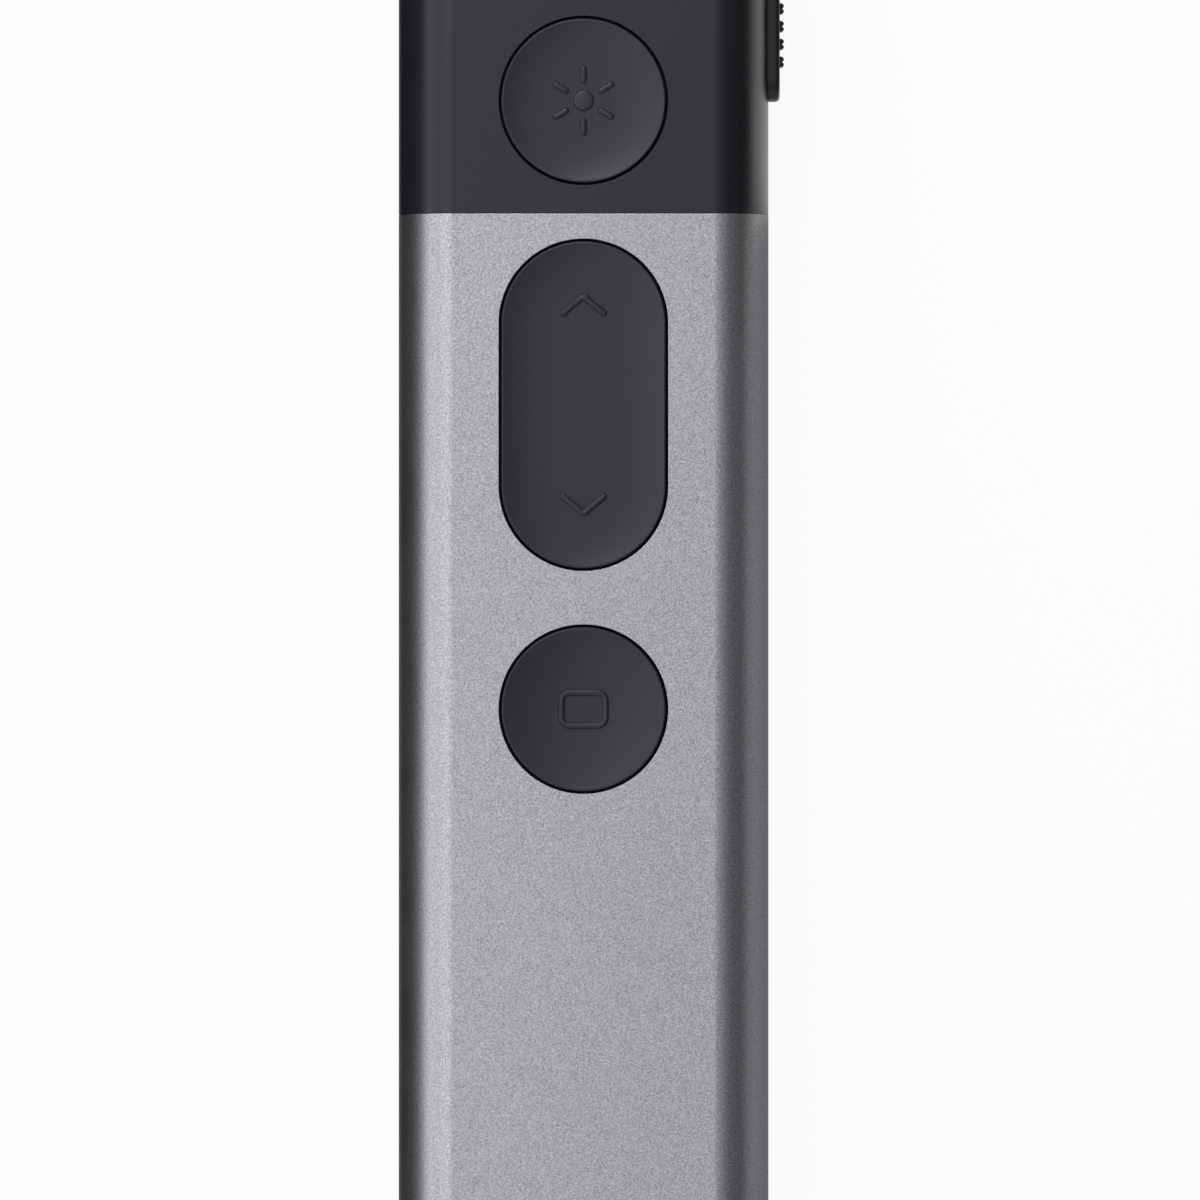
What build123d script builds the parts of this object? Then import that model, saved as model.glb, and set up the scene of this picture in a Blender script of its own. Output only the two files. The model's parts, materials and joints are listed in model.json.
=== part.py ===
from build123d import *
from math import sin, radians
import os

os.makedirs("parts", exist_ok=True)

# A wireless presentation clicker, lying on its flat back. X runs across it, Y along it towards the laser,
# Z up towards the buttons. The origin is the middle of the back. All sizes are millimetres.

# ------------------------------------------------------------------ driving dimensions
# casing
body_width = 26.0
flank_depth = 3.87  # how far each rounded flank reaches past the flat front
sleeve_wall = 1.2
head_wall = 1.4
tail_cap_thickness = 1.4
fit_gap = 0.1  # between pieces that are put together and stay
edge_bevel = 0.15  # fine bevel on the ends of the sleeve
tip_rounding = 1.2
tongue_length = 3.0  # cheeks of the head that reach into the sleeve
tongue_root = 4.0  # where those cheeks lie along the inside of the head
tongue_wall = 1.0

# keys
button_hole_radius = 6.0
button_gap = 0.26  # seen all round each cap
button_pitch = 21.3
rocker_length = 23.4
laser_above_seam = 7.9
cap_depth = 1.9
cap_rounding = 0.2
dish_depth = 0.55
dish_rim = 0.3
press_travel = 0.3
rocker_tilt = 1.8  # degrees each way
sign_line = 0.35  # width of the raised lines on the caps
sign_height = 0.14
sun_ring = 0.58  # radius of the middle of its line
sun_ray_from = 1.25
sun_ray_to = 2.26
sun_rays = 6
chevron_half_width = 1.37
chevron_height = 1.16
chevron_setback = 4.7  # from each end of the rocker to its chevron
screen_sign_width = 3.18
screen_sign_height = 2.37
screen_sign_corner = 0.63

# key frame and its axle
plate_thickness = 0.9
pocket_gap = 0.3
frame_side_gap = 0.3  # from the key frame's side to where the flanks begin
stem_radius = 1.5
stem_length = 0.9
snap_leg_x = 4.2
snap_leg_thickness = 0.8
snap_leg_width = 2.0
snap_nose = 0.4
axle_radius = 0.75
axle_below_plate = 0.6
axle_gap = 0.05
lug_x = 2.8
lug_thickness = 1.2
lug_mouth = 1.2  # narrower than the axle, so that it clips on
ear_x = 4.7
ear_thickness = 1.4
ear_wall = 0.9

# tact switches
switch_side = 6.0
switch_body_height = 3.6
plunger_radius = 1.65
plunger_gap = 0.12
plunger_out = 0.7
plunger_in = 1.0
page_switch_setback = 4.3  # from each end of the rocker to its switch

# circuit board and what it carries
board_side_gap = 0.4  # between the board and the power slider's neck
board_thickness = 1.0
board_end_gap = 0.4
board_arm_length = 4.0  # each side of the laser barrel
carrier_floor = 0.8
screw_radius = 0.8
screw_head_radius = 1.4
screw_head_height = 0.8
countersink = 90  # degrees across the cone
post_radius = 1.8
chip_side = 5.0
chip_height = 0.9
crystal_size = (3.2, 2.5, 0.8)
coil_radius = 2.2
coil_height = 2.0
antenna_size = (2.0, 7.0, 0.8)
capacitor_size = (0.8, 1.6, 0.8)

# laser and status light
light_above_laser = 8.1
light_to_barrel = 1.3
light_size = (1.6, 0.8, 0.7)
pipe_radius = 0.8
pipe_flange_radius = 1.6
pipe_flange_height = 0.6
barrel_radius = 3.0
barrel_length = 9.5
barrel_wall = 0.45
barrel_nose = 1.2
barrel_mouth_radius = 1.3
socket_length = 3.0
socket_wall = 1.0
tip_wall = 1.4
window_radius = 2.8
window_thickness = 0.8
beam_radius = 1.9
lens_thickness = 1.6
diode_base_height = 1.0
diode_can_radius = 1.7
diode_can_height = 2.3
driver_thickness = 0.8
lead_radius = 0.3
lead_x = 2.0

# power slider, on the right flank of the head
slider_above_seam = 14.36
slider_length = 13.1
slider_width = 3.2
slider_stands_out = 0.79
slider_rounding = 0.35
slider_gap = 0.12
power_travel = 2.0
rib_count = 7
rib_pitch = 1.25
rib_height = 0.3
rib_width = 0.8
rib_length = 2.2
neck_length = 5.0
neck_width = 2.2
neck_inside = 1.0  # how far the neck reaches in past the wall
slider_hook = 0.6
switch_lever_width = 1.3
switch_lever_thickness = 0.8
power_switch_size = (2.8, 6.7, 1.4)
lever_inside = 0.8

# battery bay
cell_diameter = 10.5
cell_length = 44.5
cell_nub_radius = 1.9
cell_nub_length = 1.0
cell_room = 0.55  # between the cell and the sleeve, front and back
bay_gap = 0.2  # between the cell and the cheeks beside it
bay_wall = 1.0
bay_setback = 1.0  # from the screen button's hole to the bay
contact_thickness = 0.3
contact_stand = 0.5
contact_width = 7.4
spring_room = 3.5
spring_wire_radius = 0.25
spring_radius = 3.2
spring_turns = 3
wire_radius = 0.45
wire_inset = 2.6  # from the sleeve's wall to the middle of the negative lead
solder_reach = 3.0

# battery door
door_margin = 1.15  # of the flat back, left on each side of the slot
door_gap = 0.15
door_sink = 0.1  # how far its face stays off the table
door_rail_height = 0.85
door_rail_hold = 1.1  # width of each rail on the door's plate
door_rail_lap = 0.6  # how far each rail reaches under the sleeve
door_room = 0.15
door_grip_count = 6
door_grip_pitch = 1.6
door_grip_width = 0.7
door_grip_depth = 0.35
door_grip_length = 9.0
door_grip_from_tail = 10.0

# USB receiver and its dock
plug_width = 12.0
plug_height = 4.5
plug_length = 11.8
plug_wall = 0.3
plug_rounding = 0.4
receiver_head_width = 14.4
receiver_head_height = 6.1
receiver_head_length = 5.2
receiver_rounding = 0.8
dock_gap = 0.15
tongue_board_thickness = 1.9
tongue_board_setback = 0.4
gold_contact_count = 4
gold_contact_pitch = 2.3
gold_contact_size = (1.0, 6.5, 0.1)
grip_notch_width = 8.0
grip_notch_depth = 0.5
tail_screw_inset = 1.7  # from the sleeve's wall to the middle of each screw

# ------------------------------------------------------------------ widths
flat_half = body_width / 2 - flank_depth
frame_width = 2 * (flat_half - frame_side_gap)
board_width = body_width - 2 * (head_wall + neck_inside + board_side_gap)
board_screw_x = frame_width / 2 - post_radius
wire_x = body_width / 2 - sleeve_wall - wire_inset
door_slot_width = 2 * (flat_half - door_margin)
door_rail_inner_x = door_slot_width / 2 - door_rail_hold
door_rail_outer_x = door_slot_width / 2 + door_rail_lap
tail_screw_x = body_width / 2 - sleeve_wall - tail_screw_inset

# ------------------------------------------------------------------ heights
face_z = cell_diameter + 2 * (sleeve_wall + cell_room)
mid_z = face_z / 2
cap_underside = face_z - cap_depth
rocker_dip = rocker_length / 2 * sin(radians(rocker_tilt))  # how far its end goes in
plate_top = cap_underside - rocker_dip - pocket_gap
plate_bottom = plate_top - plate_thickness
frame_top = face_z - max(head_wall, sleeve_wall) - fit_gap
axle_z = plate_bottom - axle_below_plate
plunger_top = cap_underside - stem_length
switch_top = plunger_top - plunger_out
board_top = switch_top - switch_body_height
board_bottom = board_top - board_thickness
carrier_bottom = max(head_wall, sleeve_wall) + fit_gap
carrier_top = carrier_bottom + carrier_floor
door_top = sleeve_wall + fit_gap + door_rail_height
chassis_bottom = door_top + door_room

# ------------------------------------------------------------------ places along the body
# The head is as long as what stands in it, and the sleeve as long as what lies in it.
head_length = laser_above_seam + light_above_laser + light_to_barrel + barrel_length + tip_wall
screen_below_seam = 2 * button_pitch - laser_above_seam
bay_below_seam = screen_below_seam + button_hole_radius + bay_setback
cell_below_seam = bay_below_seam + bay_wall + contact_stand
spring_below_seam = cell_below_seam + cell_length
dock_below_seam = spring_below_seam + spring_room + contact_thickness + bay_wall
receiver_length = plug_length + receiver_head_length
tail_below_seam = dock_below_seam + dock_gap + receiver_length
tip_y = (head_length + tail_below_seam) / 2
tail_y = -tip_y
seam_y = tip_y - head_length
sleeve_end_y = tail_y + tail_cap_thickness
laser_y = seam_y + laser_above_seam
rocker_y = laser_y - button_pitch
screen_y = rocker_y - button_pitch
light_y = laser_y + light_above_laser
slider_y = seam_y + slider_above_seam
barrel_front_y = tip_y - tip_wall
barrel_back_y = barrel_front_y - barrel_length
bay_y = seam_y - bay_below_seam
cell_front_y = seam_y - cell_below_seam
cell_back_y = cell_front_y - cell_length
spring_plate_y = cell_back_y - spring_room
dock_y = seam_y - dock_below_seam
plug_tip_y = dock_y - dock_gap
plug_root_y = plug_tip_y - plug_length
board_tail_y = bay_y + board_end_gap
board_tip_y = barrel_back_y + board_arm_length
notch_y = barrel_back_y - fit_gap
frame_tail_y = screen_y - button_hole_radius - pocket_gap - fit_gap
frame_tip_y = barrel_back_y + fit_gap
screw_rows = (screen_y + (button_hole_radius + button_pitch - rocker_length / 2) / 2, seam_y + fit_gap)
head_screw_y = seam_y + tongue_root + screw_head_radius

cap_radius = button_hole_radius - button_gap
rocker_straight = rocker_length - 2 * button_hole_radius
page_switch_from_axle = rocker_length / 2 - page_switch_setback
chevron_from_middle = rocker_length / 2 - chevron_setback
switch_places = {
    "laser": laser_y,
    "page_up": rocker_y + page_switch_from_axle,
    "page_down": rocker_y - page_switch_from_axle,
    "screen": screen_y,
}


# ------------------------------------------------------------------ shared shapes
def across(y):
    """The plane across the body at y, centred half way up, facing the tail."""
    return Plane(origin=(0, y, mid_z), x_dir=(1, 0, 0), z_dir=(0, -1, 0))


def flank(y, x):
    """The plane along the body at y, x from its middle and half way up, facing right."""
    return Plane(origin=(x, y, mid_z), x_dir=(0, 1, 0), z_dir=(1, 0, 0))


def body_section(inset):
    """The body's outline: a flat front and back joined by half-elliptical flanks, inset from the outside."""
    flank_reach = flank_depth - inset
    half_height = mid_z - inset
    with BuildSketch() as section:
        with BuildLine():
            Line((-flat_half, -half_height), (flat_half, -half_height))
            EllipticalCenterArc((flat_half, 0), flank_reach, half_height, -90, arc_size=180)
            Line((flat_half, half_height), (-flat_half, half_height))
            EllipticalCenterArc((-flat_half, 0), flank_reach, half_height, 90, arc_size=180)
        make_face()
    return section.sketch


def pill(straight, radius):
    """An outline along Y with two round ends, a circle when its straight part is 0."""
    with BuildSketch() as outline:
        SlotCenterToCenter(straight, 2 * radius, rotation=90)
    return outline.sketch


def dish(centre_y, straight, rim_z):
    """The space over a cap's hollow: a ball, or a bar with two ball ends, dish_depth under the rim."""
    reach = cap_radius - dish_rim
    ball = (reach**2 + dish_depth**2) / (2 * dish_depth)
    ball_z = rim_z - dish_depth + ball
    with BuildPart() as space:
        with Locations((0, centre_y - straight / 2, ball_z), (0, centre_y + straight / 2, ball_z)):
            Sphere(ball)
        if straight > 0:
            with Locations((0, centre_y, ball_z)):
                Cylinder(ball, straight, rotation=(90, 0, 0))
    return space.part


def raised_sign(lines, centre_y, straight):
    """The lines of a cap's sign, standing sign_height above the floor of its hollow."""
    with BuildPart() as sign:
        with BuildSketch(Plane((0, centre_y, face_z - dish_depth - 2 * sign_height))):
            add(lines)
        extrude(amount=dish_depth)
        add(dish(centre_y, straight, face_z + sign_height), mode=Mode.SUBTRACT)
    return sign.part


def cap_blank(lines, centre_y, straight):
    """A key's cap with its hollow, its sign and a rounded rim."""
    with BuildPart() as cap:
        with BuildSketch(Plane((0, centre_y, cap_underside))):
            add(pill(straight, cap_radius))
        extrude(amount=cap_depth)
        fillet(cap.edges().group_by(Axis.Z)[-1], cap_rounding)
        add(dish(centre_y, straight, face_z), mode=Mode.SUBTRACT)
        add(raised_sign(lines, centre_y, straight))
    return cap.part


def snap_legs(centre_y):
    """Two legs with outward noses that catch under the key frame's plate."""
    leg_inner = snap_leg_x - snap_leg_thickness / 2
    leg_outer = snap_leg_x + snap_leg_thickness / 2
    nose_top = plate_bottom - fit_gap
    nose_bottom = nose_top - snap_nose
    with BuildPart() as legs:
        with BuildSketch(Plane.XZ.offset(-centre_y)):
            with BuildLine():
                Polyline(
                    (leg_inner, cap_underside),
                    (leg_outer, cap_underside),
                    (leg_outer, nose_top),
                    (leg_outer + snap_nose, nose_top),
                    (leg_inner, nose_bottom - snap_nose),
                    close=True,
                )
            make_face()
        extrude(amount=snap_leg_width / 2, both=True)
        mirror(about=Plane.YZ)
    return legs.part


# ------------------------------------------------------------------ signs on the caps
with BuildSketch() as sun_sign:
    Circle(sun_ring + sign_line / 2)
    Circle(sun_ring - sign_line / 2, mode=Mode.SUBTRACT)
    with PolarLocations((sun_ray_from + sun_ray_to) / 2, sun_rays, start_angle=90):
        SlotOverall(sun_ray_to - sun_ray_from, sign_line)

# each chevron is two round-ended arms that meet at its peak
chevron_arm = (chevron_half_width**2 + chevron_height**2) ** 0.5
chevron_slope = Vector(chevron_half_width, chevron_height).get_angle(Vector(1, 0))
with BuildSketch() as chevron_signs:
    for side in (-1, 1):
        with Locations((side * chevron_half_width / 2, chevron_from_middle)):
            SlotCenterToCenter(chevron_arm, sign_line, rotation=-side * chevron_slope)
    mirror(about=Plane.XZ)

with BuildSketch() as screen_sign:
    RectangleRounded(
        screen_sign_width + sign_line,
        screen_sign_height + sign_line,
        screen_sign_corner + sign_line / 2,
    )
    RectangleRounded(
        screen_sign_width - sign_line,
        screen_sign_height - sign_line,
        screen_sign_corner - sign_line / 2,
        mode=Mode.SUBTRACT,
    )

# ------------------------------------------------------------------ aluminium sleeve
with BuildPart() as aluminium_sleeve:
    with BuildSketch(across(seam_y)):
        add(body_section(0))
    extrude(amount=seam_y - sleeve_end_y)
    chamfer(aluminium_sleeve.faces().sort_by(Axis.Y)[-1].edges(), edge_bevel)
    chamfer(aluminium_sleeve.faces().sort_by(Axis.Y)[0].edges(), edge_bevel)
    with BuildSketch(across(seam_y)):
        add(body_section(sleeve_wall))
    extrude(amount=seam_y - sleeve_end_y, mode=Mode.SUBTRACT)
    with BuildSketch(Plane((0, 0, face_z))):
        with Locations((0, rocker_y)):
            add(pill(rocker_straight, button_hole_radius))
        with Locations((0, screen_y)):
            Circle(button_hole_radius)
    extrude(amount=-2 * sleeve_wall, mode=Mode.SUBTRACT)
    with BuildSketch(Plane.XY):
        with Locations((0, bay_y)):
            Rectangle(door_slot_width, bay_y - sleeve_end_y, align=(Align.CENTER, Align.MAX))
    extrude(amount=2 * sleeve_wall, mode=Mode.SUBTRACT)
aluminium_sleeve.part.label = "aluminium_sleeve"
export_step(aluminium_sleeve.part, "parts/aluminium_sleeve.step")

# ------------------------------------------------------------------ head shell
# Closed at the tip. Inside the tip a ring holds the laser barrel; cheeks reach into the sleeve.
with BuildPart() as head_shell:
    with BuildSketch(across(tip_y)):
        add(body_section(0))
    extrude(amount=head_length)
    fillet(head_shell.faces().sort_by(Axis.Y)[-1].edges(), tip_rounding)
    with BuildSketch(across(tip_y - tip_wall)):
        add(body_section(head_wall))
    extrude(amount=head_length - tip_wall, mode=Mode.SUBTRACT)
    with BuildSketch(across(barrel_front_y)):
        Circle(barrel_radius + socket_wall)
        Circle(barrel_radius, mode=Mode.SUBTRACT)
    extrude(amount=socket_length)
    with BuildSketch(across(seam_y + tongue_root)):
        add(body_section(sleeve_wall + fit_gap))
        add(body_section(sleeve_wall + fit_gap + tongue_wall), mode=Mode.SUBTRACT)
        Rectangle(2 * flat_half, face_z, mode=Mode.SUBTRACT)
    extrude(amount=tongue_root + tongue_length)
    with BuildSketch(across(tip_y)):
        Circle(window_radius)
    extrude(amount=window_thickness, mode=Mode.SUBTRACT)
    with BuildSketch(across(tip_y)):
        Circle(beam_radius)
    extrude(amount=tip_wall, mode=Mode.SUBTRACT)
    with BuildSketch(Plane((0, 0, face_z))):
        with Locations((0, laser_y)):
            Circle(button_hole_radius)
        with Locations((0, light_y)):
            Circle(pipe_radius + fit_gap)
    extrude(amount=-2 * head_wall, mode=Mode.SUBTRACT)
    with BuildSketch(flank(slider_y - power_travel / 2, body_width / 2)):
        RectangleRounded(neck_length + power_travel + 2 * slider_gap, neck_width + 2 * slider_gap, slider_gap)
    extrude(amount=-2 * head_wall, mode=Mode.SUBTRACT)
    for side in (-1, 1):
        with Locations(Plane((side * board_screw_x, head_screw_y, 0), z_dir=(0, 0, -1))):
            CounterSinkHole(screw_radius + fit_gap, screw_head_radius + fit_gap, 2 * head_wall, countersink)
head_shell.part.label = "head_shell"
export_step(head_shell.part, "parts/head_shell.step")

# ------------------------------------------------------------------ laser
with BuildPart() as laser_window:
    with BuildSketch(across(tip_y - fit_gap)):
        Circle(window_radius - fit_gap / 2)
    extrude(amount=window_thickness - fit_gap)
laser_window.part.label = "laser_window"
export_step(laser_window.part, "parts/laser_window.step")

barrel_bore = barrel_radius - barrel_wall
with BuildPart() as laser_barrel:
    with BuildSketch(across(barrel_front_y)):
        Circle(barrel_radius)
    extrude(amount=barrel_length)
    with BuildSketch(across(barrel_front_y - barrel_nose)):
        Circle(barrel_bore)
    extrude(amount=barrel_length - barrel_nose, mode=Mode.SUBTRACT)
    with BuildSketch(across(barrel_front_y)):
        Circle(barrel_mouth_radius)
    extrude(amount=barrel_nose, mode=Mode.SUBTRACT)
laser_barrel.part.label = "laser_barrel"
export_step(laser_barrel.part, "parts/laser_barrel.step")

# a lens with a flat back and a crowned front
lens_edge = lens_thickness / 2
lens_crown = lens_thickness - lens_edge
lens_ball = (barrel_mouth_radius**2 + lens_crown**2) / (2 * lens_crown)
with BuildPart() as laser_lens:
    with BuildSketch(across(barrel_front_y - barrel_nose)):
        Circle(barrel_bore)
    extrude(amount=lens_edge)
    with Locations((0, barrel_front_y - barrel_nose + lens_crown - lens_ball, mid_z)):
        Sphere(lens_ball)
    split(bisect_by=across(barrel_front_y - barrel_nose - lens_edge), keep=Keep.BOTTOM)
laser_lens.part.label = "laser_lens"
export_step(laser_lens.part, "parts/laser_lens.step")

diode_base_y = barrel_back_y + driver_thickness + diode_base_height
with BuildPart() as laser_diode:
    with BuildSketch(across(diode_base_y)):
        Circle(barrel_bore)
    extrude(amount=diode_base_height)
    with BuildSketch(across(diode_base_y + diode_can_height)):
        Circle(diode_can_radius)
    extrude(amount=diode_can_height)
    fillet(laser_diode.edges().sort_by(Axis.Y)[-1], fit_gap)
laser_diode.part.label = "laser_diode"
export_step(laser_diode.part, "parts/laser_diode.step")

with BuildPart() as laser_driver_board:
    with BuildSketch(across(barrel_back_y + driver_thickness)):
        Circle(barrel_bore)
    extrude(amount=driver_thickness)
laser_driver_board.part.label = "laser_driver_board"
export_step(laser_driver_board.part, "parts/laser_driver_board.step")

with BuildPart() as laser_leads:
    with BuildSketch(Plane((0, barrel_back_y, board_top + lead_radius), x_dir=(1, 0, 0), z_dir=(0, -1, 0))):
        with Locations((-lead_x, 0), (lead_x, 0)):
            Circle(lead_radius)
    extrude(amount=light_to_barrel)
laser_leads.part.label = "laser_leads"
export_step(laser_leads.part, "parts/laser_leads.step")

# ------------------------------------------------------------------ key caps
with BuildPart() as laser_button_cap:
    add(cap_blank(sun_sign.sketch, laser_y, 0))
    add(snap_legs(laser_y))
    with BuildSketch(Plane((0, laser_y, cap_underside))):
        Circle(stem_radius)
    extrude(amount=-stem_length)
laser_button_cap.part.label = "laser_button_cap"
export_step(laser_button_cap.part, "parts/laser_button_cap.step")

with BuildPart() as screen_button_cap:
    add(cap_blank(screen_sign.sketch, screen_y, 0))
    add(snap_legs(screen_y))
    with BuildSketch(Plane((0, screen_y, cap_underside))):
        Circle(stem_radius)
    extrude(amount=-stem_length)
screen_button_cap.part.label = "screen_button_cap"
export_step(screen_button_cap.part, "parts/screen_button_cap.step")

# The page rocker clips over its axle from above with two open lugs.
lug_radius = axle_radius + axle_gap + ear_wall
with BuildPart() as page_rocker_cap:
    add(cap_blank(chevron_signs.sketch, rocker_y, rocker_straight))
    with BuildSketch(Plane((0, rocker_y, cap_underside))):
        with Locations((0, -page_switch_from_axle), (0, page_switch_from_axle)):
            Circle(stem_radius)
    extrude(amount=-stem_length)
    for side in (-1, 1):
        with BuildSketch(Plane((side * lug_x, rocker_y, axle_z), x_dir=(0, 1, 0), z_dir=(1, 0, 0))):
            Circle(lug_radius)
            Rectangle(2 * lug_radius, cap_underside - axle_z, align=(Align.CENTER, Align.MIN))
            Circle(axle_radius + axle_gap, mode=Mode.SUBTRACT)
            Rectangle(lug_mouth, 2 * lug_radius, align=(Align.CENTER, Align.MAX), mode=Mode.SUBTRACT)
        extrude(amount=lug_thickness / 2, both=True)
page_rocker_cap.part.label = "page_rocker_cap"
export_step(page_rocker_cap.part, "parts/page_rocker_cap.step")

# ------------------------------------------------------------------ key frame and rocker axle
# A leg's window lets it flex inwards by its nose, and the nose catches beside it.
snap_window_x = snap_leg_x - (snap_nose - fit_gap) / 2
lug_window_x = lug_x + lug_thickness / 2 + pocket_gap
ear_outer = ear_x + ear_thickness / 2
with BuildPart() as key_frame:
    with BuildSketch(Plane((0, frame_tail_y, plate_bottom))):
        Rectangle(frame_width, frame_tip_y - frame_tail_y, align=(Align.CENTER, Align.MIN))
    extrude(amount=frame_top - plate_bottom)
    with BuildSketch(Plane((0, 0, plate_top))):
        with Locations((0, laser_y), (0, screen_y)):
            Circle(cap_radius + pocket_gap)
        with Locations((0, rocker_y)):
            add(pill(rocker_straight, cap_radius + pocket_gap))
    extrude(amount=frame_top - plate_top, mode=Mode.SUBTRACT)
    with BuildSketch(Plane((0, 0, plate_bottom))):
        with Locations([(0, y) for y in switch_places.values()]):
            Circle(plunger_radius + pocket_gap)
        with Locations((0, laser_y), (0, screen_y)):
            with Locations((-snap_window_x, 0), (snap_window_x, 0)):
                Rectangle(snap_leg_thickness + snap_nose + fit_gap, snap_leg_width + 2 * pocket_gap)
        with Locations((0, rocker_y)):
            Rectangle(2 * lug_window_x, 2 * (lug_radius + pocket_gap))
    extrude(amount=plate_thickness, mode=Mode.SUBTRACT)
    for side in (-1, 1):
        with BuildSketch(Plane((side * ear_x, rocker_y, axle_z), x_dir=(0, 1, 0), z_dir=(1, 0, 0))):
            Circle(lug_radius)
            Rectangle(2 * lug_radius, plate_top - axle_z, align=(Align.CENTER, Align.MIN))
        extrude(amount=ear_thickness / 2, both=True)
    with BuildSketch(Plane((0, rocker_y, axle_z), x_dir=(0, 1, 0), z_dir=(1, 0, 0))):
        Circle(axle_radius)
    extrude(amount=ear_outer, both=True, mode=Mode.SUBTRACT)
    with BuildSketch(Plane((0, 0, plate_bottom))):
        with Locations([(side * board_screw_x, y) for side in (-1, 1) for y in screw_rows]):
            Circle(post_radius)
    extrude(amount=board_top - plate_bottom)
    with BuildSketch(Plane((0, 0, frame_top))):
        with Locations([(side * board_screw_x, y) for side in (-1, 1) for y in screw_rows]):
            Circle(screw_radius)
    extrude(amount=board_top - frame_top, mode=Mode.SUBTRACT)
    with BuildSketch(Plane((0, 0, frame_top))):
        with Locations([(side * board_screw_x, y) for side in (-1, 1) for y in screw_rows]):
            Circle(screw_head_radius + fit_gap)
    extrude(amount=-screw_head_height - fit_gap, mode=Mode.SUBTRACT)
    with BuildSketch(Plane((0, light_y, frame_top))):
        Circle(pipe_radius + fit_gap)
    extrude(amount=plate_bottom - frame_top, mode=Mode.SUBTRACT)
    with BuildSketch(Plane((0, light_y, frame_top))):
        Rectangle(2 * (pipe_flange_radius + fit_gap), 2 * (pipe_flange_radius + fit_gap))
    extrude(amount=-pipe_flange_height, mode=Mode.SUBTRACT)
key_frame.part.label = "key_frame"
export_step(key_frame.part, "parts/key_frame.step")

with BuildPart() as rocker_axle:
    with BuildSketch(Plane((0, rocker_y, axle_z), x_dir=(0, 1, 0), z_dir=(1, 0, 0))):
        Circle(axle_radius)
    extrude(amount=ear_outer, both=True)
    chamfer(rocker_axle.edges().filter_by(GeomType.CIRCLE), fit_gap)
rocker_axle.part.label = "rocker_axle"
export_step(rocker_axle.part, "parts/rocker_axle.step")

# ------------------------------------------------------------------ tact switches
for switch_name, switch_y in switch_places.items():
    with BuildPart() as switch_body:
        with BuildSketch(Plane((0, switch_y, board_top))):
            RectangleRounded(switch_side, switch_side, plunger_gap * 4)
        extrude(amount=switch_body_height)
        chamfer(switch_body.edges().group_by(Axis.Z)[-1], plunger_gap)
        with BuildSketch(Plane((0, switch_y, switch_top))):
            Circle(plunger_radius + plunger_gap)
        extrude(amount=-plunger_in - press_travel - fit_gap, mode=Mode.SUBTRACT)
    switch_body.part.label = switch_name + "_switch_body"
    export_step(switch_body.part, "parts/" + switch_name + "_switch_body.step")

    with BuildPart() as switch_plunger:
        with BuildSketch(Plane((0, switch_y, plunger_top))):
            Circle(plunger_radius)
        extrude(amount=-plunger_out - plunger_in)
        fillet(switch_plunger.edges().group_by(Axis.Z)[-1], plunger_gap)
    switch_plunger.part.label = switch_name + "_switch_plunger"
    export_step(switch_plunger.part, "parts/" + switch_name + "_switch_plunger.step")

# ------------------------------------------------------------------ circuit board and its parts
with BuildPart() as circuit_board:
    with BuildSketch(Plane((0, 0, board_bottom))):
        with Locations((0, board_tail_y)):
            Rectangle(board_width, board_tip_y - board_tail_y, align=(Align.CENTER, Align.MIN))
        with Locations((0, notch_y)):
            Rectangle(
                2 * (barrel_radius + pocket_gap),
                board_arm_length + fit_gap,
                align=(Align.CENTER, Align.MIN),
                mode=Mode.SUBTRACT,
            )
        with Locations([(side * board_screw_x, y) for side in (-1, 1) for y in screw_rows]):
            Circle(screw_radius, mode=Mode.SUBTRACT)
    extrude(amount=board_thickness)
circuit_board.part.label = "circuit_board"
export_step(circuit_board.part, "parts/circuit_board.step")

with BuildPart() as radio_chip:
    with BuildSketch(Plane((0, (screen_y + switch_places["page_down"]) / 2, board_top))):
        Rectangle(chip_side, chip_side)
    extrude(amount=chip_height)
    chamfer(radio_chip.edges().group_by(Axis.Z)[-1], fit_gap)
radio_chip.part.label = "radio_chip"
export_step(radio_chip.part, "parts/radio_chip.step")

with BuildPart() as crystal_can:
    with BuildSketch(Plane((0, rocker_y, board_top))):
        RectangleRounded(crystal_size[0], crystal_size[1], 2 * fit_gap)
    extrude(amount=crystal_size[2])
crystal_can.part.label = "crystal_can"
export_step(crystal_can.part, "parts/crystal_can.step")

with BuildPart() as boost_coil:
    with BuildSketch(Plane((0, screen_y, board_bottom))):
        Circle(coil_radius)
    extrude(amount=-coil_height)
    chamfer(boost_coil.edges().group_by(Axis.Z)[0], 2 * fit_gap)
boost_coil.part.label = "boost_coil"
export_step(boost_coil.part, "parts/boost_coil.step")

antenna_x = board_width / 2 - antenna_size[0]
with BuildPart() as chip_antenna:
    with BuildSketch(Plane((-antenna_x, board_tip_y - fit_gap, board_top))):
        Rectangle(antenna_size[0], antenna_size[1], align=(Align.CENTER, Align.MAX))
    extrude(amount=antenna_size[2])
chip_antenna.part.label = "chip_antenna"
export_step(chip_antenna.part, "parts/chip_antenna.step")

with BuildPart() as capacitors:
    with BuildSketch(Plane((0, (screen_y + switch_places["page_down"]) / 2, board_top))):
        with GridLocations(chip_side + 3 * capacitor_size[0], 2 * capacitor_size[1], 2, 1):
            Rectangle(capacitor_size[0], capacitor_size[1])
        with Locations((0, rocker_y - (screen_y + switch_places["page_down"]) / 2)):
            with GridLocations(2 * crystal_size[0], 2 * capacitor_size[1], 2, 2):
                Rectangle(capacitor_size[0], capacitor_size[1])
    extrude(amount=capacitor_size[2])
capacitors.part.label = "capacitors"
export_step(capacitors.part, "parts/capacitors.step")

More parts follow.
